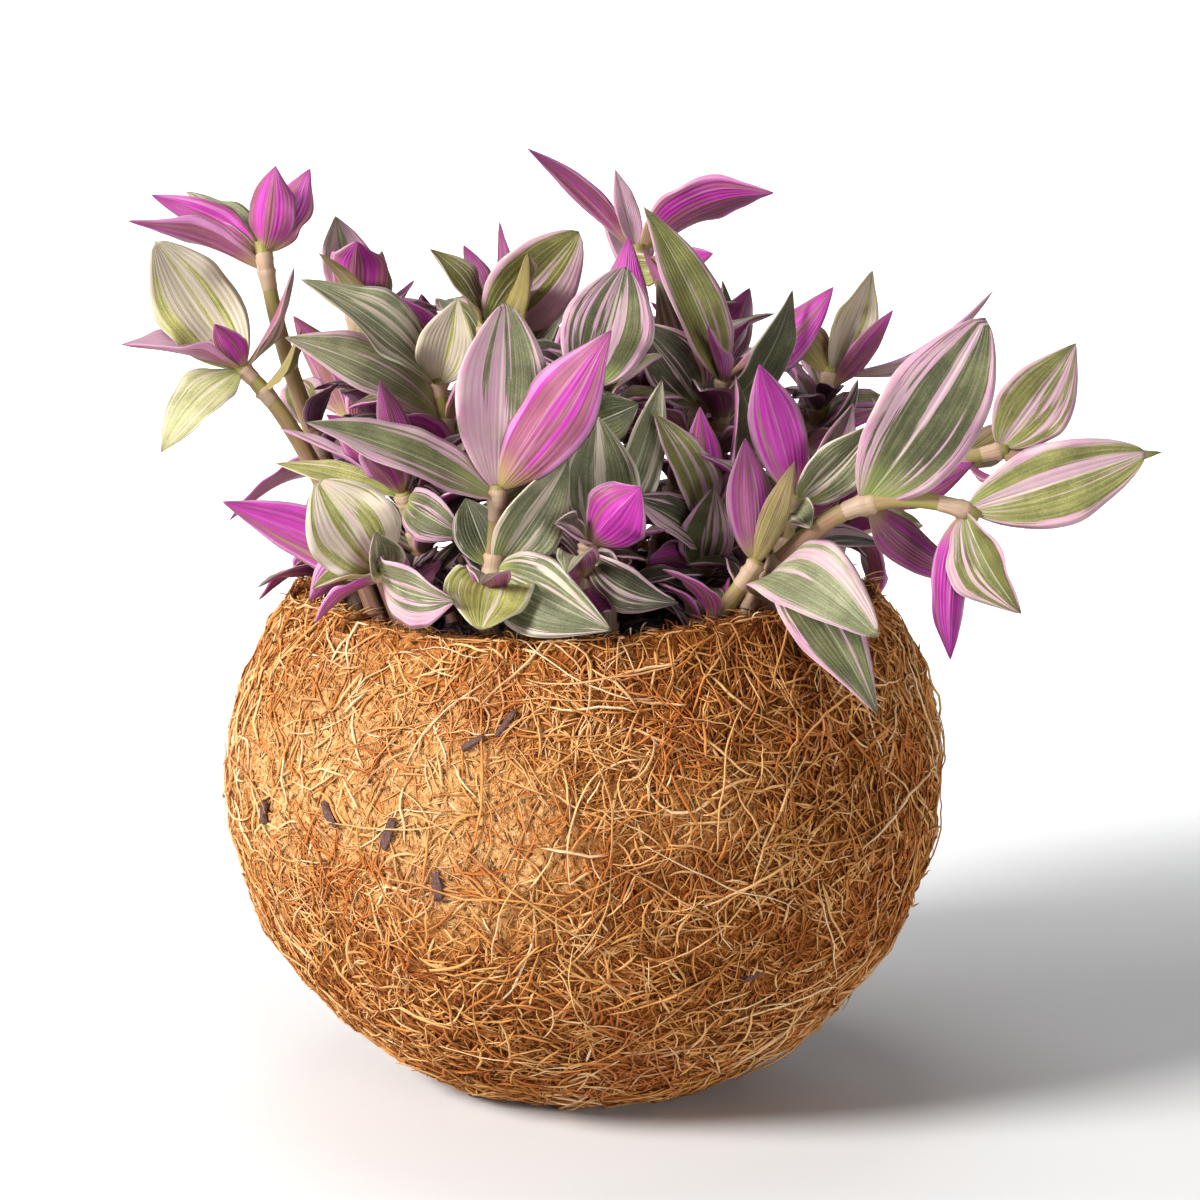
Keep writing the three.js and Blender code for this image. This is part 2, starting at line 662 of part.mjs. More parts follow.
// A blade fits where it is clear of the pot, the soil and every other shoot, and past its root also
// of its own stem and the blades beside it.
function fits(shoot, blade, outerBlade) {
  if (!apart(blade, pot, CLEAR) || !apart(blade, soil, CLEAR)) return false;
  for (const other of shoots) {
    if (other === shoot) continue;
    for (const solid of [other.stem, ...other.blades]) {
      if (!apart(blade, solid, CLEAR)) return false;
    }
  }
  return [shoot.stem, ...shoot.outer].every((solid) =>
    apart(outerBlade, solid, OWN_CLEAR),
  );
}

const OUTER_FROM = 0.3;
let leftOut = 0;

function grow(shoot, leaf) {
  for (const shift of SHIFTS) {
    const tried = shifted(leaf, shift);
    const blade = bladeSolid(tried);
    const outerBlade = bladeSolid(tried, OUTER_FROM);
    if (fits(shoot, blade, outerBlade)) {
      shoot.blades.push(blade);
      shoot.outer.push(outerBlade);
      return;
    }
  }
  leftOut += 1;
}

// The leaves that the front shows are placed first, so that the others make room for them.
for (const shoot of shoots) shoot.placed.forEach((leaf) => grow(shoot, leaf));
for (const shoot of shoots) shoot.ruled.forEach((leaf) => grow(shoot, leaf));

// Fuses a stem with its blades. A small hollow that the fusing seals is filled.
function fused(shoot) {
  const joined = wasm.Manifold.union([shoot.stem, ...shoot.blades]);
  const bodies = joined.decompose().filter((body) => body.volume() > 0);
  bodies.sort((a, b) => b.volume() - a.volume());
  return bodies[0].simplify(0.02);
}

const materials = {
  coir: new THREE.MeshStandardMaterial({ color: 0xb97f45, roughness: 0.95 }),
  soil: new THREE.MeshStandardMaterial({ color: 0x2a1a14, roughness: 1 }),
  leaf: new THREE.MeshStandardMaterial({
    color: 0xa9899a,
    roughness: 0.5,
    side: THREE.DoubleSide,
  }),
};

const plant = new THREE.Group();
plant.name = "potted_tradescantia";
plant.userData.leavesLeftOut = leftOut;

function addPiece(name, solid, material) {
  const mesh = new THREE.Mesh(geometryFrom(solid), material);
  mesh.name = name;
  plant.add(mesh);
}

addPiece("coir_pot", pot, materials.coir);
addPiece("potting_soil", soil, materials.soil);
for (const shoot of shoots) {
  addPiece(`shoot_${shoot.name}`, fused(shoot), materials.leaf);
}

export default plant;
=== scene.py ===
# %% [markdown]
# # A potted tradescantia
#
# The object is a globe-shaped pot, pressed from coconut fibre (coir), with about thirty leafy
# stems of a striped tradescantia in it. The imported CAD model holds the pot, the soil and one
# solid for each leafy stem, with flat facets and few faces. This script keeps those places and
# outlines, and makes each one again as a finer piece: curved blades with stripes, stems with
# rings and sleeves, and a matted wall with thousands of loose fibres. Lengths are millimetres
# until a piece is finished, and metres after.

# %% Load the frame
import math
from itertools import product

import bmesh
import bpy
import numpy as np
from mathutils import Matrix, Vector, noise
from mathutils.bvhtree import BVHTree
from mathutils.kdtree import KDTree


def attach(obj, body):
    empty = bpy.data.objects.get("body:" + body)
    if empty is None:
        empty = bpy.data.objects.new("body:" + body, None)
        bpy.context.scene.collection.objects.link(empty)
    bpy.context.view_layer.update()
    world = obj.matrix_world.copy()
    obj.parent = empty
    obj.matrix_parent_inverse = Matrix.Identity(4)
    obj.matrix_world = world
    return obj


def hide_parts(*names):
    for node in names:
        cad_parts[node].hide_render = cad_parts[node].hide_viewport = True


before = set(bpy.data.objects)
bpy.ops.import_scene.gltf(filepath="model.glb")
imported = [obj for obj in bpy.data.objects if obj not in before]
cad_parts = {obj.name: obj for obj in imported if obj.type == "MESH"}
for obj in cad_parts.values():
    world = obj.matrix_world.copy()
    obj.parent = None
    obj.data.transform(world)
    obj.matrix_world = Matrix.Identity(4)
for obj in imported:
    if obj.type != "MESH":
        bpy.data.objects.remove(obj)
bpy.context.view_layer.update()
MM = 0.001


# %% [markdown]
# ## Materials as sums
#
# A material is a web of small nodes. Written one by one they hide what is worked out, so a socket
# is wrapped here in a small class: `1 - mask` or `a * b` then adds the Math node by itself, and
# the finish of a leaf reads like a short recipe.


# %% A socket that can be added and multiplied
class Value:
    """One output socket. Sums and products of values add Math nodes."""

    def __init__(self, finish, socket):
        self.finish, self.socket = finish, socket

    def maths(self, operation, *others, first=None):
        inputs = [self if first is None else first, *others]
        kind = {"operation": operation}
        return self.finish.node("ShaderNodeMath", kind, dict(enumerate(inputs)))

    def __add__(self, other):
        return self.maths("ADD", other)

    def __mul__(self, other):
        return self.maths("MULTIPLY", other)

    def __sub__(self, other):
        return self.maths("SUBTRACT", other)

    def __rsub__(self, other):
        return self.maths("SUBTRACT", self, first=other)

    def __abs__(self):
        return self.maths("ABSOLUTE")

    __radd__, __rmul__ = __add__, __mul__

    def larger(self, other):
        return self.maths("MAXIMUM", other)

    def rise(self, low, high):
        """0 below low, 1 above high, and smooth between them."""
        return self.finish.node(
            "ShaderNodeMapRange",
            {"interpolation_type": "SMOOTHSTEP", "clamp": True},
            {"Value": self, "From Min": low, "From Max": high},
        )


# %% A finish made of nodes
def colour(code):
    """A colour as painters write it on a screen, such as #b1713d, as Blender's linear values."""
    shares = [int(code[i : i + 2], 16) / 255 for i in (1, 3, 5)]
    linear = [x / 12.92 if x <= 0.04045 else ((x + 0.055) / 1.055) ** 2.4 for x in shares]
    return linear + [1]


class Finish:
    """A material whose nodes are added as they are needed."""

    def __init__(self, name, **even):
        self.material = bpy.data.materials.new(name)
        self.material.use_nodes = True
        self.tree = self.material.node_tree
        self.shader = self.tree.nodes["Principled BSDF"]
        for socket, value in even.items():
            self.shader.inputs[socket.replace("_", " ")].default_value = value

    def node(self, kind, settings=None, inputs=None, output=0):
        made = self.tree.nodes.new(kind)
        for key, value in (settings or {}).items():
            setattr(made, key, value)
        for key, value in (inputs or {}).items():
            self.feed(made.inputs[key], value)
        return Value(self, made.outputs[output])

    def feed(self, socket, value):
        if isinstance(value, Value):
            self.tree.links.new(value.socket, socket)
        else:
            socket.default_value = value

    def place(self, scale=1):
        """The place on the piece in millimetres, times a scale."""
        at = self.node("ShaderNodeTexCoord", output="Object")
        inputs = {0: at, "Scale": scale / MM}
        return self.node("ShaderNodeVectorMath", {"operation": "SCALE"}, inputs)

    def attribute(self, name):
        """A vector that the mesh carries, as its three numbers."""
        read = self.node("ShaderNodeAttribute", {"attribute_name": name}, output="Vector")
        return self.parts(read)

    def parts(self, vector):
        made = self.tree.nodes.new("ShaderNodeSeparateXYZ")
        self.feed(made.inputs[0], vector)
        return [Value(self, output) for output in made.outputs]

    def vector(self, x, y, z):
        return self.node("ShaderNodeCombineXYZ", inputs={0: x, 1: y, 2: z})

    def grain(self, at, scale=1.0, detail=2.0, roughness=0.5):
        """Soft noise from 0 to 1 around 0.5."""
        inputs = {"Vector": at, "Scale": scale, "Detail": detail, "Roughness": roughness}
        return self.node("ShaderNodeTexNoise", inputs=inputs)

    def mix(self, share, one, other):
        """The first colour where the share is 0, and the other where it is 1."""
        paints = [colour(c) if isinstance(c, str) else c for c in (one, other)]
        inputs = {0: share, 6: paints[0], 7: paints[1]}
        return self.node("ShaderNodeMix", {"data_type": "RGBA"}, inputs, output=2)

    def ramp(self, share, *stops):
        """Colours at even steps along a share from 0 to 1."""
        made = self.tree.nodes.new("ShaderNodeValToRGB")
        elements = made.color_ramp.elements
        while len(elements) < len(stops):
            elements.new(0.5)
        for i, code in enumerate(stops):
            elements[i].position = i / (len(stops) - 1)
            elements[i].color = colour(code)
        self.feed(made.inputs[0], share)
        return Value(self, made.outputs[0])

    def bump(self, height, depth):
        """Relief of a depth in millimetres where the height goes from 0 to 1."""
        inputs = {"Distance": depth * MM, "Height": height}
        self.feed(self.shader.inputs["Normal"], self.node("ShaderNodeBump", inputs=inputs))

    def paint(self, **sockets):
        for socket, value in sockets.items():
            self.feed(self.shader.inputs[socket.replace("_", " ")], value)
        return self.material


# %% [markdown]
# ## What a leaf looks like
#
# A leaf of this plant is grey-green on top, with crisp streaks of cream and pink that run from
# its root to its tip and end abruptly, a broad lilac margin and a thin pale edge. Underneath it
# is magenta, with brown-purple streaks. Every blade carries two numbers at each point: how far
# along it lies, and how far across. Noise that is stretched along the blade and cut off hard
# gives streaks that close in at both ends, as real ones do. A painted image would need a picture
# file, and would blur close up.

# %% The looks of the leaves
# Pale share, how pink the pale parts are, how warm the green is, how dark it is, the side that
# the pale parts lean to, and how vivid the underside is.
LOOKS = {
    "magenta": (0.5, 0.9, 0.4, 0.35, 0.0, 1.0),
    "mauve": (0.5, 0.9, 0.25, 0.5, 0.0, 0.85),
    "bright": (0.5, 0.9, 0.4, 0.35, 0.0, 1.8),
    "purple": (0.35, 0.8, 0.1, 0.8, 0.0, 0.6),
    "wine": (0.35, 0.8, 0.7, 0.55, 0.7, 0.7),
    "lilac": (0.66, 0.85, 0.15, 0.5, -1.8, 0.8),
    "striped": (0.5, 0.4, 0.2, 0.45, 0.1, 0.6),
    "banded": (0.42, 0.85, 0.4, 0.72, -0.2, 0.6),
    "margined": (0.4, 0.85, 0.35, 0.6, 0.1, 0.6),
    "silver": (0.42, 0.12, 0.15, 0.3, 0.1, 0.4),
    "green": (0.15, 0.2, 0.25, 0.68, 0.0, 0.4),
    "sage": (0.36, 0.7, 0.2, 0.25, 0.1, 0.5),
    "lime": (0.28, 0.1, 0.9, 0.15, 0.0, 0.1),
    "fresh": (0.45, 0.1, 0.5, 0.0, 0.2, 0.1),
    "olive": (0.2, 0.45, 0.95, 0.4, 0.2, 0.15),
    "olive_pink": (0.5, 0.75, 0.8, 0.4, 0.2, 0.5),
    "rose": (0.8, 0.95, 0.3, 0.2, 0.0, 0.9),
    "cream": (0.8, 0.1, 0.9, 0.0, 0.0, 0.1),
    "creamy": (0.6, 0.4, 0.8, 0.25, 0.4, 0.3),
    "misty": (0.56, 0.75, 0.2, 0.4, 0.5, 0.6),
    "pink_striped": (0.44, 0.8, 0.3, 0.45, 0.0, 0.6),
    "dusky": (0.4, 0.7, 0.1, 0.75, 0.0, 0.55),
}
COMMON_LOOKS = "striped margined silver green magenta olive_pink dusky banded rose wine".split()
print(len(LOOKS), "looks")


# %% The streaks of a leaf
def streaks(finish, across, along, seed, pale, lean):
    """Cut-off noise that is long along the blade: its share is near pale."""
    drift = seed * 91
    at = finish.vector(across * 4.2 + drift, along * 0.7, seed * 37)
    broad = finish.grain(at, 1, 1.2, 0.45)
    thin_at = finish.vector(across * 11 + drift, along * 1.1, seed * 53)
    thin = finish.grain(thin_at, 1, 3, 0.65)
    field = broad * 0.58 + thin * 0.42 + across * lean * 0.12
    level = 0.665 - pale * 0.27
    return (field - level).rise(-0.012, 0.012)


# %% The top of a leaf
# Light goes a millimetre or two into a juicy blade and comes out tinted.
GLOW_DEPTH, LEAF_IOR = 0.0015, 1.42
RIBS = 44


def ribs(across):
    """Fine ribs along the blade, from 0 to 1."""
    return (across * RIBS).maths("SINE") * 0.5 + 0.5


def juicy(name, glow, glow_colour):
    look = {"Subsurface_Weight": glow, "Subsurface_Scale": GLOW_DEPTH, "IOR": LEAF_IOR}
    return Finish(name, Subsurface_Radius=glow_colour, **look)


def leaf_top():
    finish = juicy("striped_leaf_top", 0.12, (0.9, 0.5, 0.4))
    across, along, seed = finish.attribute("blade")
    pale, pink, warm = finish.attribute("tint")
    deep, lean, _ = finish.attribute("tone")
    side = abs(across)
    fibre = finish.grain(finish.vector(across * 24, along * 1.6, seed * 11), 1, 3, 0.6)
    cloud = finish.grain(finish.place(0.16), 1, 2, 0.5)
    cells = finish.grain(finish.place(2.6), 1, 3, 0.7)
    # deep holds a look's own darkness plus painted shade, so the top goes darker and towards dusk
    # deep in the plant.
    depth = fibre * 0.9 + deep * 0.75 - 0.3 + (cloud - 0.5) * 0.6 + (cells - 0.5) * 0.55
    cool = finish.ramp(depth, "#b2b29a", "#8c8e71", "#666950", "#434732", "#282a1e")
    yellow = finish.ramp(depth, "#c3bd74", "#99964d", "#747335", "#525125", "#363419")
    green = finish.mix(warm, cool, yellow)
    dusk = finish.ramp(depth, "#ab8092", "#7f546a", "#59364a", "#3a2131", "#24131f")
    green = finish.mix(deep.rise(0.7, 0.85) * 0.65, green, dusk)
    root_green = (1 - along).rise(0.66, 0.98) * 0.7
    green = finish.mix(root_green, green, finish.ramp(fibre, "#7d8f3c", "#b9c077"))
    pale_streak = streaks(finish, across, along, seed, pale, lean)
    blush = (cloud * 0.8 + pink * 0.9 - 0.5).rise(0.1, 0.8)
    cream = finish.ramp(fibre, "#9f937e", "#c3b6a2", "#ddd2c0")
    lilac = finish.ramp(fibre, "#997081", "#c197ab", "#dab8c7")
    body = finish.mix(pale_streak * 0.94, green, finish.mix(blush, cream, lilac))
    width = pink * 0.17 + 0.05
    ragged = finish.grain(finish.vector(across * 13, along * 1.6, seed * 71), 1, 3, 0.65)
    margin = (side + width + (ragged - 0.5) * 0.75).rise(1.0, 1.02)
    body = finish.mix(margin * 0.92, body, finish.mix(blush, "#cabfae", "#c18fa8"))
    body = finish.mix(side.rise(0.95, 0.985) * 0.75, body, finish.mix(blush, "#d8d0b0", "#d6b6ba"))
    body = finish.mix((1 - side).rise(0.965, 0.99) * 0.35, body, "#dfe0c0")
    finish.bump(ribs(across) * 0.35 + fibre * 0.6 + cells * 0.45, 0.2)
    return finish.paint(Base_Color=body, Roughness=0.36 + cells * 0.26)


# %% The underside of a leaf
def leaf_underside():
    finish = juicy("magenta_leaf_underside", 0.14, (1.0, 0.4, 0.7))
    across, along, seed = finish.attribute("blade")
    pale, _, warm = finish.attribute("tint")
    deep, _, vivid = finish.attribute("tone")
    side = abs(across)
    fibre = finish.grain(finish.vector(across * 17, along * 1.2, seed * 23), 1, 3, 0.6)
    cloud = finish.grain(finish.place(0.12), 1, 2, 0.5)
    drift = seed * 57
    broad = finish.grain(finish.vector(across * 3 + drift, along * 0.5, seed * 29), 1, 1.5, 0.5)
    thin = finish.grain(finish.vector(across * 9 + drift, along * 0.8, seed * 41), 1, 3, 0.65)
    shade = fibre + (cloud - 0.5) * 0.8
    rose = finish.ramp(shade, "#6d3148", "#924c6b", "#b07095")
    bright = finish.ramp(shade, "#8f1d7b", "#b3349d", "#c55ab2")
    dull = finish.ramp(shade, "#4c2a3c", "#7d4d62", "#a08078")
    dull = finish.mix(warm * 0.85, dull, finish.ramp(shade, "#5d5a26", "#8f8840", "#b3aa66"))
    rose = finish.mix(warm * 0.6, rose, "#8a5a48")
    band = broad * 0.62 + thin * 0.38 + vivid * 0.1 + along * 0.07 - 0.13
    body = finish.mix(band.rise(0.488, 0.525), rose, bright)
    body = finish.mix(vivid.rise(0.2, 0.6), dull, body)
    body = finish.mix(thin.rise(0.56, 0.63) * 0.55, body, "#64234c")
    body = finish.mix((1 - thin).rise(0.57, 0.64) * 0.4, body, "#cb93b4")
    margin = (side + across * 0.07 + (broad - 0.5) * 0.9 + pale * 0.7).rise(1.17, 1.23)
    body = finish.mix(margin * 0.75, body, finish.ramp(shade, "#b4719c", "#d29bc2"))
    root = finish.ramp(fibre, "#94793f", "#b3a868")
    body = finish.mix((1 - along).rise(0.72, 0.98) * 0.85, body, root)
    # Dark wine where deep is high: the own colour of dark looks, and painted shade on leaves deep
    # in the plant.
    body = finish.mix(deep.rise(0.5, 1.1) * 0.7, body, "#2c0f2c")
    body = finish.mix(side.rise(0.955, 0.985) * 0.7, body, "#cdb4a6")
    cells = finish.grain(finish.place(3.2), 1, 2, 0.6)
    finish.bump(ribs(across) * 0.4 + fibre * 0.6 + cells * 0.3, 0.2)
    return finish.paint(Base_Color=body, Roughness=0.34 + cells * 0.26)


# %% Stems and sleeves
def stem_skin():
    """Juicy stems, cream to olive with mauve streaks. A sleeve is paler and papery."""
    finish = Finish("juicy_stem", Subsurface_Weight=0.1, Subsurface_Scale=0.002, IOR=LEAF_IOR)
    x, y, along = finish.attribute("blade")
    pale, pink, sleeve = finish.attribute("tint")
    at = finish.vector(x * 1.7, y * 1.7, along * 0.05)
    line = finish.grain(at, 1, 3, 0.65)
    fine = finish.grain(finish.vector(x * 6, y * 6, along * 0.07), 1, 2, 0.6)
    greener = (line - 0.5) * 1.7 + 0.1 + along * 0.0065
    body = finish.ramp(greener, "#6b4450", "#946c5a", "#9b8352", "#908c47", "#7a823a")
    papery = finish.ramp(fine, "#7c5057", "#aa8872", "#c6ad8e", "#9c6d75")
    body = finish.mix(sleeve, body, papery)
    body = finish.mix(fine.rise(0.45, 0.75) * 0.45, body, "#96656a")
    # The first tint number of a stem is painted shade, not paleness: it darkens inner stems towards
    # deep wine.
    body = finish.mix(pale * 0.85, body, "#4b1d38")
    finish.bump(line * 0.4 + fine * 0.6, 0.2)
    return finish.paint(Base_Color=body, Roughness=0.42 + fine * 0.2)


TOP, UNDERSIDE, STEM_SKIN = leaf_top(), leaf_underside(), stem_skin()
print("leaf finishes:", TOP.name, UNDERSIDE.name, STEM_SKIN.name)

# %% [markdown]
# ## Where the stems and leaves are
#
# The rows below have the stems and tips that the CAD part was built from. A shoot has its foot on
# the soil, the points that bend its stem, and the number of its low leaves. A leaf row says where
# on the stem the leaf sits, where its tip is, its width, its arch, how many degrees its upper
# face is turned from the viewer, its fold, and its look. Using the same places keeps each finer
# leaf where its solid is. A few leaves are broader or slenderer here than their solids, where the
# photo asked for it.


# %% Shoots, with their leaves
class Shoot:
    """A stem on a cubic curve, and what grows on it."""

    def __init__(self, foot, path, low=0, leaves=(), count=0, longest=0):
        self.points = [Vector((*foot, SOIL_LEVEL - BURIED)), *map(Vector, path)]
        self.low, self.leaves, self.count, self.longest = low, leaves, count, longest

    def at(self, t):
        a, b, c, d = self.points
        u = 1 - t
        return a * u**3 + b * (3 * u * u * t) + c * (3 * u * t * t) + d * t**3

    def along(self, t):
        a, b, c, d = self.points
        u = 1 - t
        return ((b - a) * u * u + (c - b) * (2 * u * t) + (d - c) * t * t).normalized()

    def length(self):
        stops = [self.at(i / 40) for i in range(41)]
        return sum((b - a).length for a, b in zip(stops, stops[1:]))


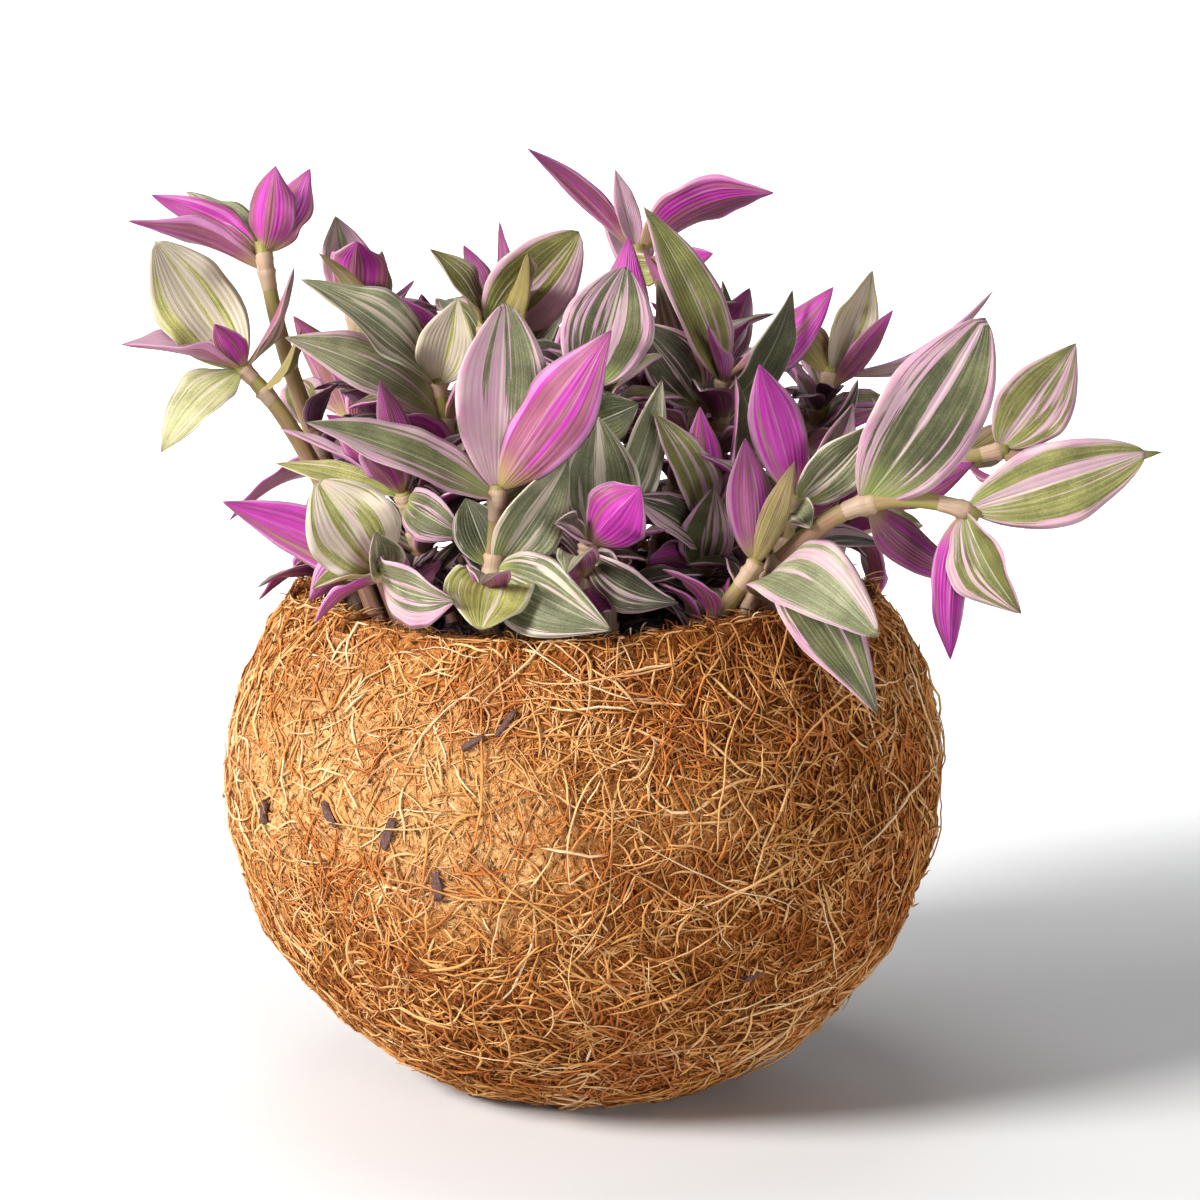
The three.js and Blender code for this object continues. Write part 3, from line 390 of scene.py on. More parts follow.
SOIL_LEVEL, BURIED = 98, 9
FRONT_SHOOTS = {
    "front_left": Shoot([-23, -46], [[-19, -47, 117], [-18, -48, 130], [-18, -48, 142]], 2, [
        [1, 6, -62, 176, 17, -0.05, 170, 25, "mauve"],
        [0.98, -16, -54, 181, 20, -0.06, 5, 25, "lilac"],
        [0.93, -57, -62, 157, 15, 0.06, 40, 12, "pink_striped"],
        [0.54, 6, -70, 115, 17, 0.12, 5, 14, "striped"],
        [0.5, -21, -70, 115, 19, 0.12, 0, 14, "lime"],
        [0.9, -3, -36, 153, 14, 0.05, 20, 20, "silver"],
        [0.55, -3, -38, 146, 14, 0.12, 15, 15, "silver"],
        [0.56, -25, -40, 138, 11, 0.1, 0, 20, "green"],
        [0.42, -25, -40, 116, 9, 0.1, 20, 20, "silver"],
    ]),
    "right_reach": Shoot([27, -37], [[36, -41, 126], [54, -50, 148], [83, -52, 136]], 2, [
        [0.69, 83, -56, 178, 23, 0.1, 14, 8, "banded"],
        [0.3, 60, -78, 115, 18, 0.26, -38, 10, "sage"],
        [0.38, 61, -69, 97, 15, 0.2, -8, 10, "margined"],
        [1, 117, -56, 150, 18, 0.05, 10, 10, "olive_pink"],
        [0.96, 76, -66, 108, 9, 0.05, 160, 30, "bright"],
        [1, 91, -62, 117, 14, 0.08, 40, 40, "wine"],
        [0.7, 84, -38, 119, 10, 0.1, 160, 20, "dusky"],
        [0.72, 83, -42, 146, 9, 0.05, 170, 20, "magenta"],
    ]),
    "left_rim": Shoot([-32, -36], [[-34, -40, 114], [-37, -43, 121], [-44, -50, 124]], 0, [
        [0.8, -77, -38, 137, 13, 0.05, 165, 25, "wine"],
        [0.95, -55, -56, 144, 20, 0.08, 10, 20, "creamy"],
        [0.95, -26, -69, 121, 17, 0.1, 40, 12, "misty"],
        [1, -58, -47, 117, 10, 0.2, 130, 30, "rose"],
        [1, -43, -60, 134, 9, 0, 40, 50, "silver"],
        [0.95, -39, -48, 130, 9, 0.05, 170, 30, "magenta"],
        [0.85, -57, -47, 112, 8, 0.1, 90, 30, "magenta"],
        [0.85, -58, -52, 121, 9, 0.1, 60, 35, "olive"],
        [0.8, -30, -42, 125, 9, 0.1, 120, 20, "dusky"],
    ]),
    "magenta_spear": Shoot([37, -20], [[40, -28, 123], [44, -34, 130], [46, -36, 138]], 3, [
        [1, 37, -44, 167, 12, 0.08, 175, 15, "bright"],
        [0.97, 62, -44, 155, 12, 0.1, 20, 20, "striped"],
        [0.85, 48, -50, 133, 8, 0.1, 0, 20, "silver"],
        [0.9, 56, -28, 138, 9, 0.05, 160, 20, "magenta"],
        [0.95, 58, -28, 157, 8, 0.1, 30, 25, "rose"],
    ]),
    "purple_spear": Shoot([16, -44], [[24, -46, 108], [32, -48, 118], [37, -48, 126]], 1, [
        [1, 34, -48, 152, 10, 0.04, 178, 15, "purple"],
        [0.9, 44, -44, 146, 6, 0.04, 170, 25, "olive"],
    ]),
    "far_left_low": Shoot([-40, -8], [[-54, -8, 133], [-64, -8, 152], [-76, -8, 163]], 0, [
        [1, -101, -14, 168, 12, 0.05, 75, 35, "rose"],
        [0.97, -92, -20, 145, 13, 0.12, 30, 15, "fresh"],
        [1, -94, -6, 190, 20, -0.12, 15, 10, "cream"],
        [1, -63, -12, 185, 6, 0.05, 80, 30, "olive_pink"],
        [0.97, -80, -18, 173, 7, 0, 160, 30, "magenta"],
        [0.85, -61, -20, 172, 7, 0.05, 90, 30, "olive"],
    ]),
    "far_left_high": Shoot([-34, 6], [[-58, 8, 135], [-68, 8, 158], [-72, 8, 189]], 1, [
        [1, -68, 2, 206, 12, -0.06, 165, 35, "magenta"],
        [1, -61, 10, 205, 11, -0.04, 150, 30, "magenta"],
        [0.96, -97, 12, 199, 10, 0.05, 150, 30, "magenta"],
        [0.93, -101, 0, 194, 10, 0.05, 120, 30, "rose"],
        [0.97, -91, 20, 200, 9, 0.05, 60, 30, "silver"],
    ]),
    "far_right": Shoot([40, -4], [[50, -2, 128], [74, -4, 140], [94, -6, 144]], 2, [
        [1, 108, -10, 168, 17, 0.08, 10, 8, "olive_pink"],
        [1, 130, 4, 142, 9, 0.05, 40, 20, "lime"],
        [0.97, 114, -16, 146, 10, 0.05, 130, 45, "dusky"],
        [0.85, 95, -14, 138, 6, 0.1, 90, 25, "rose"],
        [0.8, 104, 16, 152, 9, 0.1, 160, 20, "lime"],
    ]),
    "upper_right": Shoot([20, 4], [[29, 2, 136], [31, 0, 148], [31, -2, 160]], 4, [
        [1, 13, -12, 198, 13, 0.1, 20, 15, "olive_pink"],
        [1, 55, -6, 180, 11, 0.08, 150, 30, "magenta"],
        [0.8, 46, 14, 176, 12, 0.15, 30, 15, "green"],
        [0.95, 27, -14, 172, 7, 0, 120, 30, "rose"],
    ]),
    "crown": Shoot([0, -14], [[1, -18, 130], [1, -20, 146], [1, -22, 161]], 5, [
        [1, 9, -26, 186, 20, 0.06, 5, 12, "margined"],
        [1, 10, -4, 191, 14, 0.08, 150, 30, "magenta"],
        [0.8, 12, -30, 157, 12, 0.1, 10, 15, "green"],
    ]),
    "left_pair": Shoot([-20, -14], [[-27, -14, 129], [-30, -14, 147], [-32, -14, 161]], 3, [
        [1, -61, -22, 183, 15, 0.1, 40, 20, "silver"],
        [1, -41, -26, 181, 11, 0.03, 165, 40, "magenta"],
        [1, -27, -22, 179, 13, 0.05, 0, 25, "cream"],
        [0.8, -64, -28, 171, 15, 0.1, 40, 15, "sage"],
        [0.6, -41, -30, 154, 11, 0.1, 150, 20, "magenta"],
    ]),
    "top_left": Shoot([-8, 10], [[-14, 8, 135], [-21, 4, 154], [-22, 2, 172]], 4, [
        [1, -1, -4, 192, 19, 0.08, 15, 12, "olive_pink"],
        [1, -34, -2, 188, 10, 0.05, 60, 35, "olive"],
        [1, -27, 10, 188, 9, 0.05, 150, 30, "purple"],
        [0.97, -12, -16, 188, 10, 0.05, 100, 50, "olive"],
        [0.95, -19, 14, 193, 8, 0.05, 120, 30, "dusky"],
    ]),
    "top_back": Shoot([8, 26], [[13, 26, 147], [13, 28, 169], [12, 26, 187]], 2, [
        [1, -13, 20, 209, 6, 0.1, 150, 20, "rose"],
        [1, 7, 26, 204, 6, 0, 20, 25, "rose"],
        [0.97, 43, 18, 199, 15, 0.16, -130, 20, "magenta"],
        [0.93, 29, 10, 186, 8, 0.05, 150, 25, "magenta"],
        [0.9, 19, 12, 183, 8, 0.1, 20, 20, "lime"],
    ]),
    "right_back": Shoot([30, 16], [[42, 14, 137], [55, 16, 143], [56, 16, 160]], 2, [
        [1, 65, 14, 182, 11, -0.05, 20, 35, "cream"],
        [0.98, 92, 10, 178, 7, 0.12, 70, 30, "rose"],
        [0.95, 43, 4, 169, 10, 0.2, 140, 25, "olive"],
        [0.9, 69, 4, 174, 6, 0, 150, 30, "magenta"],
        [0.7, 61, 0, 159, 6, 0.1, 60, 30, "dusky"],
    ]),
    "upper_left": Shoot([-26, 14], [[-42, 12, 135], [-51, 12, 153], [-52, 12, 175]], 3, [
        [1, -56, 16, 194, 12, 0.05, 20, 30, "rose"],
        [0.97, -50, 2, 189, 14, 0.05, 172, 20, "magenta"],
        [0.95, -46, 16, 187, 10, 0.05, 60, 30, "olive"],
        [0.75, -58, 0, 186, 13, 0.1, 120, 30, "olive"],
        [1, -38, 12, 180, 8, 0.1, 100, 25, "silver"],
    ]),
    "left_low": Shoot([-32, -22], [[-33, -26, 122], [-37, -28, 131], [-39, -30, 138]], 3, [
        [1, -55, -32, 155, 12, 0.1, 150, 20, "magenta"],
        [0.9, -24, -44, 130, 11, 0.15, 10, 15, "margined"],
        [1, -47, -42, 149, 9, 0.05, 150, 25, "rose"],
        [1, -43, -28, 161, 8, 0.05, 160, 30, "purple"],
        [0.95, -67, -22, 143, 6, 0.05, 30, 25, "lime"],
        [0.98, -67, -16, 150, 5, 0.05, 60, 30, "rose"],
    ]),
    "inner_back": Shoot([12, -2], [[17, 0, 132], [24, 2, 143], [26, 2, 154]], 5, [
        [1, 11, -10, 173, 15, 0.08, 20, 15, "dusky"],
        [0.95, 16, 4, 181, 12, 0.08, 20, 15, "olive_pink"],
        [0.9, 13, 14, 187, 7, 0.05, 120, 30, "olive_pink"],
    ]),
    "inner_upright": Shoot([6, -30], [[5, -34, 115], [4, -36, 122], [4, -36, 128]], 4, [
        [1, 3, -40, 156, 17, 0.05, 5, 20, "striped"],
        [0.97, 17, -26, 162, 10, 0.05, 30, 35, "silver"],
        [0.7, -8, -26, 148, 12, 0.1, 20, 15, "dusky"],
    ]),
    "inner_right": Shoot([22, -20], [[25, -22, 115], [26, -24, 122], [26, -24, 131]], 2, [
        [1, 15, -30, 155, 11, 0.12, 30, 35, "olive_pink"],
        [1, 25, -34, 157, 9, 0, 170, 25, "magenta"],
        [0.97, 33, -18, 162, 10, 0.1, 60, 40, "silver"],
        [0.6, 28, -36, 140, 12, 0.05, 0, 15, "margined"],
        [0.8, 10, -38, 138, 11, 0.1, 30, 25, "dusky"],
        [0.6, 14, -42, 125, 9, 0.1, 150, 25, "purple"],
        [0.5, 31, -46, 122, 9, 0.1, 120, 45, "wine"],
    ]),
    "front_small": Shoot([-4, -46], [[1, -46, 117], [1, -47, 124], [1, -48, 130]], 2, [
        [1, 12, -58, 143, 15, 0, 175, 20, "bright"],
        [0.98, -6, -56, 135, 8, 0.1, 60, 30, "dusky"],
        [0.9, 20, -60, 119, 11, 0.2, 40, 15, "dusky"],
        [0.7, -5, -58, 120, 9, 0.1, 150, 25, "purple"],
        [0.8, 9, -56, 124, 9, 0.1, 20, 20, "dusky"],
        [0.6, 4, -60, 117, 8, 0.1, 160, 25, "purple"],
    ]),
}

# The foot, three points of the stem, how many leaves, and how long the longest is.
RULED_ROWS = {
    "back_left_reach": ([-44, 20], [-46, 30, 128], [-54, 46, 142], [-58, 56, 144], 7, 34),
    "back_left": ([-26, 36], [-30, 50, 126], [-34, 60, 142], [-38, 66, 152], 7, 36),
    "back_middle": ([-6, 44], [-8, 56, 124], [-6, 70, 140], [-4, 80, 144], 7, 40),
    "back_right": ([20, 42], [24, 52, 126], [28, 62, 142], [32, 68, 152], 7, 36),
    "back_right_reach": ([38, 22], [42, 32, 126], [52, 46, 138], [58, 58, 136], 7, 34),
    "middle_back": ([-10, 28], [-14, 32, 126], [-16, 36, 146], [-18, 38, 160], 7, 34),
    "middle_right": ([34, 32], [34, 34, 126], [30, 36, 146], [26, 38, 158], 7, 32),
    "side_right": ([44, 8], [50, 10, 120], [60, 16, 126], [70, 22, 122], 6, 26),
    "side_left": ([-48, -4], [-52, 6, 112], [-56, 14, 118], [-62, 20, 118], 6, 22),
}
RULED_SHOOTS = {
    name: Shoot(foot, path, count=count, longest=longest)
    for name, (foot, *path, count, longest) in RULED_ROWS.items()
}
SHOOTS = {**FRONT_SHOOTS, **RULED_SHOOTS}
print(len(SHOOTS), "shoots")

# %% [markdown]
# ## Growing the leaves
#
# The same small random draw and the same rules as in the CAD part are used, so that every blade
# bends, folds and twists as its solid does. The CAD part moved a leaf a little where it would
# have crossed another one. Which move it took can be seen from the solid itself: its tip is one
# of the solid's corners, so the moves are tried until the tip meets a corner.

# %% The same draws as in the CAD part
VIEWER = Vector((0, -0.985, 0.174))
UP = Vector((0, 0, 1))
TWO_RANKS = math.radians(152)


def draws_from(seed):
    state = (seed * 7919 + 12345) % 2**32

    def draw():
        nonlocal state
        state = (state * 1664525 + 1013904223) % 2**32
        return state / 2**32

    return draw


def mix(a, b, share):
    return a + (b - a) * share


def part_across(vector, ahead):
    """A vector without its part along another one, at length 1."""
    return (vector - ahead * vector.dot(ahead)).normalized()


# %% One leaf
# The moves that the CAD part tried: shares of the length, degrees of turn, and millimetres nearer.
SHRINKS = (1, 0.84, 0.68)
TURNS = (0, 12, -12, 26, -26)
SHIFTS = (0, 4, -4, 8, -8, 13, -13, 19, -19)
SAME_CORNER = 0.05
# The highest share of a stem that a leaf sits at, and how far its root is from the middle.
HIGHEST, ROOT_OUT = 0.97, 0.9


class Leaf:
    """A blade: its root, the line to its tip, the way its upper face looks, and its bend."""

    def __init__(self, shoot, at, towards, width, arch, fold, look):
        at = min(at, HIGHEST)
        centre, ahead = shoot.at(at), shoot.along(at)
        out = (towards - centre).normalized()
        self.root = centre + (out - ahead * out.dot(ahead)) * ROOT_OUT
        self.at, self.width, self.arch, self.look = at, width, arch, look
        self.from_photo, self.shade = look is not None, 0
        self.fold = math.radians(fold)
        self.stance, self.chord = UP, towards - self.root

    def finish_by(self, draw):
        self.twist = (draw() - 0.5) * 0.5
        self.phase = draw() * 2 * math.pi
        self.wave = 0.06 + 0.1 * draw()

    def shifted_chord(self, nearer, turn, share):
        turned = Matrix.Rotation(math.radians(turn), 3, "Z")
        return (turned @ (self.chord + VIEWER * nearer)) * share

    def moved(self):
        """Whether the photo shows this leaf in another place than its solid."""
        return self.from_photo and (self.wanted - self.chord).length > 0.1

    def settle(self, corners):
        """Takes the move that the CAD part took, or says that the leaf was left out."""
        for share, turn, nearer in product(SHRINKS, TURNS, SHIFTS):
            chord = self.shifted_chord(nearer, turn, share)
            if corners.find(self.root + chord)[2] < SAME_CORNER:
                self.wanted, self.chord = self.chord, chord
                self.width *= math.sqrt(share)
                return True
        return False


# %% Leaves placed one by one, and leaves by rule
def placed_leaf(shoot, row):
    at, x, y, z, width, arch, turn, fold, look = row
    leaf = Leaf(shoot, at, Vector((x, y, z)), width, arch, fold, look)
    ahead = leaf.chord.normalized()
    facing = part_across(VIEWER, ahead)
    leaf.stance = Matrix.Rotation(math.radians(turn), 3, ahead) @ facing
    return leaf


def ruled_leaf(shoot, at, open_by, spin, length, arch, fold, draw):
    ahead = shoot.along(at)
    side = UP.cross(ahead)
    side = side.normalized() if side.length >= 0.05 else Vector((1, 0, 0))
    other = ahead.cross(side)
    angle = math.radians(open_by) + (draw() - 0.5) * 0.3
    turn = spin + (draw() - 0.5) * 0.4
    grown = length * (0.88 + 0.24 * draw())
    way = side * math.cos(turn) + other * math.sin(turn)
    chord = (ahead * math.cos(angle) + way * math.sin(angle)) * grown
    width = grown * (0.36 + 0.1 * draw())
    leaf = Leaf(shoot, at, shoot.at(at) + chord, width, arch, fold, None)
    leaf.chord, leaf.stance = chord, (ahead + UP).normalized()
    return leaf


def leaf_rules(shoot):
    """Where on the stem each leaf by rule sits, how open, how long, arched and folded it is."""

    def by_share(s):
        length = shoot.longest * mix(1, 0.7, s)
        return mix(0.45, 1, s**0.8), mix(96, 24, s), length, mix(0.14, 0.03, s), mix(10, 36, s)

    if shoot.count:
        return [by_share(i / (shoot.count - 1)) for i in range(shoot.count)]
    return [(0.28 + 0.46 * (i + 0.5) / shoot.low, 68, 23, 0.1, 20) for i in range(shoot.low)]


def grown_leaves(shoot, draw):
    start = draw() * 2 * math.pi
    return [
        ruled_leaf(shoot, at, open_by, start + i * TWO_RANKS, length, arch, fold, draw)
        for i, (at, open_by, length, arch, fold) in enumerate(leaf_rules(shoot))
    ]


# %% All leaves of the plant
left_out = 0
for index, (name, shoot) in enumerate(SHOOTS.items()):
    draw = draws_from(index + 1)
    placed = [placed_leaf(shoot, row) for row in shoot.leaves]
    for leaf in placed:
        leaf.finish_by(draw)
    grown = grown_leaves(shoot, draw)
    for leaf in grown:
        leaf.finish_by(draw)
    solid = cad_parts["shoot_" + name].data.vertices
    corners = KDTree(len(solid))
    for i, corner in enumerate(solid):
        corners.insert(corner.co / MM, i)
    corners.balance()
    pick = draws_from(900 + index)
    for leaf in grown:
        leaf.look = COMMON_LOOKS[int(pick() * len(COMMON_LOOKS))]
    shoot.grown = [leaf for leaf in placed + grown if leaf.settle(corners)]
    left_out += len(placed) + len(grown) - len(shoot.grown)
print(sum(len(s.grown) for s in SHOOTS.values()), "leaves,", left_out, "left out")

# %% [markdown]
# ## One blade for all leaves
#
# Every leaf has the same make: a thin, juicy lens with a fold along its middle. So one flat blade
# is made once, as a grid with a mirrored copy under it, and each leaf is that blade, laid along
# its own curve. The grid's two directions are kept on it as numbers, because the streaks of the
# finish follow them.

# %% From a bmesh to a piece
def mesh_of(made, name):
    """The mesh that a bmesh has become. The bmesh is let go."""
    mesh = bpy.data.meshes.new(name)
    made.to_mesh(mesh)
    made.free()
    return mesh


def smooth_object(name, mesh, *materials):
    """A smooth object at the origin. Its place is in its mesh."""
    mesh.shade_smooth()
    for material in materials:
        mesh.materials.append(material)
    made = bpy.data.objects.new(name, mesh)
    bpy.context.scene.collection.objects.link(made)
    return made


def tell(mesh, name, numbers):
    """Gives each point three numbers that its finish reads by name."""
    layer = mesh.attributes.new(name, "FLOAT_VECTOR", "POINT")
    layer.data.foreach_set("vector", numbers.astype(np.float32).ravel())


# %% The flat blade
ACROSS, ALONG = 14, 32


def flat_blade(across, along):
    made = bmesh.new()
    bmesh.ops.create_grid(made, x_segments=across, y_segments=along, size=1)
    copy = bmesh.ops.duplicate(made, geom=made.verts[:] + made.edges[:] + made.faces[:])
    under = [item for item in copy["geom"] if isinstance(item, bmesh.types.BMFace)]
    bmesh.ops.reverse_faces(made, faces=under)
    for face in under:
        face.material_index = 1
    for vert in {v for face in under for v in face.verts}:
        vert.co.z = -1
    for vert in made.verts:
        vert.co.z = 1 if vert.co.z > -0.5 else -1
    return mesh_of(made, "flat_blade")


BLADE = flat_blade(ACROSS, ALONG)
print("flat blade:", len(BLADE.vertices), "points,", len(BLADE.polygons), "faces")

# %% The curve of a blade
THICKNESS, BROAD_FROM = 0.7, 17.5
# How blunt the outline is, how much the tip is drawn out, and where its belly lies.
BROAD_FORM, SLENDER_FORM = (0.62, 0.15, 1.08), (0.78, 0.36, 0.94)
# The share of the way where the arch has its knee, and the groove along the middle.
KNEE, GROOVE_DEPTH, GROOVE_WIDTH = 0.45, 0.2, 0.1


def blade_outline(t, width):
    """Half the width at t, as a share of its greatest. Broad leaves are blunter than others."""
    blunt, tip, belly = BROAD_FORM if width > BROAD_FROM else SLENDER_FORM
    drawn_out = 1 - tip * max(0, (t - 0.55) / 0.45) ** 2
    return math.sin(math.pi * t**belly) ** blunt * drawn_out if 0 < t < 1 else 0


class Bend:
    """The curve of one leaf's midrib at t, and the two directions across it."""

    def __init__(self, leaf, t):
        length = leaf.chord.length
        ahead = leaf.chord / length
        face = part_across(leaf.stance, ahead)
        knee = leaf.root + leaf.chord * KNEE + face * (2 * leaf.arch * length)
        end = leaf.root + leaf.chord
        self.centre = leaf.root * (1 - t) ** 2 + knee * (2 * t * (1 - t)) + end * t**2
        along = ((knee - leaf.root) * (1 - t) + (end - knee) * t).normalized()
        flat_up = part_across(face, along)
        flat_across = along.cross(flat_up)
        twist = leaf.twist * t
        self.up = flat_up * math.cos(twist) + flat_across * math.sin(twist)
        self.across = flat_across * math.cos(twist) - flat_up * math.sin(twist)
        flat = leaf.width / 2 / math.cos(0.8 * leaf.fold)
        self.half = 0 if t == 1 else max(flat * blade_outline(t, leaf.width), 1 - t)
        self.fold, self.t, self.leaf = leaf.fold * (1 - 0.35 * t), t, leaf

    def point(self, s, face):
        """The skin at s, from -1 to 1 across the blade, on its upper or lower face."""
        side, t, leaf = abs(s), self.t, self.leaf
        lift = math.sin(self.fold) * 0.5 * (side + side * side)
        phase = leaf.phase + (2.2 if s > 0 else 0)
        wave = 1.3 * leaf.wave * math.sin(3 * math.pi * t + phase) * 4 * t * (1 - t) * side**2
        crimp = math.sin(6 * math.pi * t + 3 * phase) + 0.5 * math.sin(9 * math.pi * t - phase)
        wave += 0.04 * crimp * side**3 * min(1, 8 * t * (1 - t))
        groove = -GROOVE_DEPTH * math.exp(-((s / GROOVE_WIDTH) ** 2)) * min(1, self.half / 3)
        normal = self.up * math.cos(self.fold * side)
        normal -= self.across * (math.copysign(1, s) * math.sin(self.fold * side))
        ends = min(1, t / 0.05) * min(1, (1 - t) / 0.08)
        depth = THICKNESS / 2 * math.sqrt(1 - side**4) * ends
        return (
            self.centre
            + self.across * (self.half * s * math.cos(self.fold))
            + self.up * (self.half * (lift + wave) + groove)
            + normal * (face * depth)
        )


# %% [markdown]
# ## One rod for stems and sleeves
#
# A stem is a round rod along a curve. One straight rod is made once, by cutting a cylinder into
# rings, and each stem, each sleeve at a joint and each loose fibre of the pot is that rod, laid
# along its curve. Blender's curve objects with a bevel would do it too, but the rod keeps the
# numbers that the streaks need.


# %% The straight rod
def straight_rod(sides, rings):
    """A closed rod from 0 to the last ring along Z, with a radius of 1."""
    made = bmesh.new()
    bmesh.ops.create_cone(made, cap_ends=True, segments=sides, radius1=1, radius2=1, depth=rings)
    long_edges = [e for e in made.edges if abs(e.verts[0].co.z - e.verts[1].co.z) > 0.5]
    bmesh.ops.subdivide_edges(made, edges=long_edges, cuts=rings - 1)
    bmesh.ops.translate(made, verts=made.verts, vec=(0, 0, rings / 2))
    return mesh_of(made, "straight_rod")


STEM_RINGS, SLEEVE_RINGS = 30, 5
STEM_ROD, SLEEVE_ROD = straight_rod(12, STEM_RINGS), straight_rod(14, SLEEVE_RINGS)
print("rods:", len(STEM_ROD.vertices), "and", len(SLEEVE_ROD.vertices), "points")


# %% Laying a rod along a stem
class Builder:
    """One piece in the making: parts are added to it, with the numbers that their finish reads."""

    def __init__(self):
        self.mesh = bmesh.new()
        layers = self.mesh.verts.layers.float_vector
        self.blade, self.tint, self.tone = (layers.new(n) for n in ("blade", "tint", "tone"))

    def add(self, part):
        """Adds a copy of a mesh, and gives its points."""
        before = len(self.mesh.verts)
        self.mesh.from_mesh(part)
        self.mesh.verts.ensure_lookup_table()
        return self.mesh.verts[before:]

    def finished(self, name, *materials, weld=0.0):
        """The piece, in metres, riding on the body. Points nearer than weld are made one."""
        if weld:
            bmesh.ops.remove_doubles(self.mesh, verts=self.mesh.verts, dist=weld)
        bmesh.ops.scale(self.mesh, vec=(MM, MM, MM), verts=self.mesh.verts)
        piece = smooth_object(name, mesh_of(self.mesh, name), *materials)
        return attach(piece, "root")


def add_rod(build, rod, rings, shoot, low, high, radius_at, tint, slot):
    """A rod along a shoot's stem from low to high, with the radius that a function gives."""
    first_face = len(build.mesh.faces)
    verts = build.add(rod)
    frames, side = [], Vector((1, 0, 0))
    for i in range(rings + 1):
        share = i / rings
        t = mix(low, high, share)
        along = shoot.along(t)
        side = part_across(side, along)
        frames.append((shoot.at(t), side, along.cross(side), radius_at(share, t)))
    for vert in verts:
        x, y, ring = vert.co
        centre, side, other, radius = frames[round(ring)]
        vert.co = centre + (side * x + other * y) * radius
        vert[build.blade] = (x, y, mix(low, high, ring / rings) * 100)
        vert[build.tint] = tint
    build.mesh.faces.ensure_lookup_table()
    for face in build.mesh.faces[first_face:]:
        face.material_index = slot


# %% Laying a blade
def add_leaf(build, leaf, seed, blade, rows):
    bends = [Bend(leaf, row / rows) for row in range(rows + 1)]
    pale, pink, warm, deep, lean, vivid = LOOKS[leaf.look]
    for vert in build.add(blade):
        s, t, face = vert.co.x, (vert.co.y + 1) / 2, vert.co.z
        row = round(t * rows)
        s = max(-1, min(1, s))
        vert.co = bends[row].point(s, face)
        vert[build.blade] = (s, t, seed)
        vert[build.tint] = (pale, pink, warm)
        # The shade of a leaf is painted shade: it darkens the leaf and dulls its underside deep in
        # the plant.
        vert[build.tone] = (deep + leaf.shade, lean, vivid - leaf.shade * 0.5)


# %% A shoot as one piece
FOOT_RADIUS, TIP_RADIUS, SWELL = 2.45, 1.6, 0.14
SLEEVE_LENGTH, LOWEST_SLEEVE = 6.5, 0.12
# How much painted shade darkens the stems of the inner shoots.
INNER_SHADE = 0.35
SLEEVE_FLARE = (-0.4, 0.14, 0.17, 0.22, 0.4, -0.5)


def joints_of(shoot):
    return sorted({round(leaf.at, 2) for leaf in shoot.grown})


def stem_radius(shoot):
    """A stem thins towards its tip and swells at each joint."""
    joints = joints_of(shoot)

    def radius(share, t):
        swell = max([math.exp(-(((t - j) / 0.018) ** 2)) for j in joints] or [0])
        return mix(FOOT_RADIUS, TIP_RADIUS, t) * (1 + SWELL * swell)

    return radius


def grow_shoot(name, shoot, number):
    """The stem of a shoot and the blades that stay where their solids are, not yet finished."""
    build = Builder()
    draw = draws_from(400 + number)
    for leaf in shoot.grown:
        leaf.seed = draw() * 3
        if not leaf.moved():
            add_leaf(build, leaf, leaf.seed, BLADE, ALONG)
    # The inner shoots' stems carry painted shade in their first tint number.
    shade = INNER_SHADE if name.startswith("inner") or name == "front_small" else 0.0
    radius = stem_radius(shoot)
    add_rod(build, STEM_ROD, STEM_RINGS, shoot, 0, 1, radius, (shade, 0, 0), 2)
    reach = SLEEVE_LENGTH / shoot.length()
    for at in joints_of(shoot):
        if at - reach < LOWEST_SLEEVE:
            continue

        def sleeve(share, t):
            return radius(0, t) + SLEEVE_FLARE[round(share * SLEEVE_RINGS)]

        top = min(1, at + 1.2 / shoot.length())
        add_rod(build, SLEEVE_ROD, SLEEVE_RINGS, shoot, at - reach, top, sleeve, (shade, 0, 1), 2)
    return build


BUILDS = {n: grow_shoot(n, s, i) for i, (n, s) in enumerate(SHOOTS.items())}
print("shoots grown:", len(BUILDS))

# %% [markdown]
# ## The pot's outline
#
# The pot is pressed in a mould, so its outline is a clean curve with a belly, but its wall is a
# mat of fibres: it has broad lumps, smaller ones, and a rim that was torn by hand. The formulas
# for the outline and the broad lumps are those of the CAD part. They work on whole arrays of
# points here, because the fibres need them many thousands of times.

# %% The form of the pot
POT_HEIGHT, BELLY_HEIGHT, BELLY_RADIUS, WALL = 111, 72, 80, 7
RIM_BUMPS = ((-51, 4.2, 22), (-147, 2.4, 18), (75, 2, 30))


def pot_radius(z):
    above = np.sqrt(1 - np.clip((z - BELLY_HEIGHT) / 68, 0, 0.95) ** 2)
    below = (1 - np.clip((BELLY_HEIGHT - z) / 76, 0, 0.99) ** 2.07) ** (1 / 2.07)
    return BELLY_RADIUS * np.where(z > BELLY_HEIGHT, above, below)


def cavity_radius(z):
    return pot_radius(z) - WALL - 60 / (z + 12)


def degrees_off(angle, middle):
    """How far an angle is from a middle in degrees, the short way round."""
    away = np.degrees(angle) - middle
    return away - 360 * np.round(away / 360)


def rim_rise(angle):
    rise = 0.7 * np.sin(3 * angle)
    for middle, height, spread in RIM_BUMPS:
        rise = rise + height * np.exp(-((degrees_off(angle, middle) / spread) ** 2))
    return rise


def broad_lumps(angle, z):
    broad = np.sin(5 * angle + 0.11 * z) * np.sin(0.16 * z + 1.3)
    fine = np.sin(11 * angle - 0.23 * z + 2) * np.sin(0.31 * z)
    return 0.9 * (0.75 * broad + 0.5 * fine)


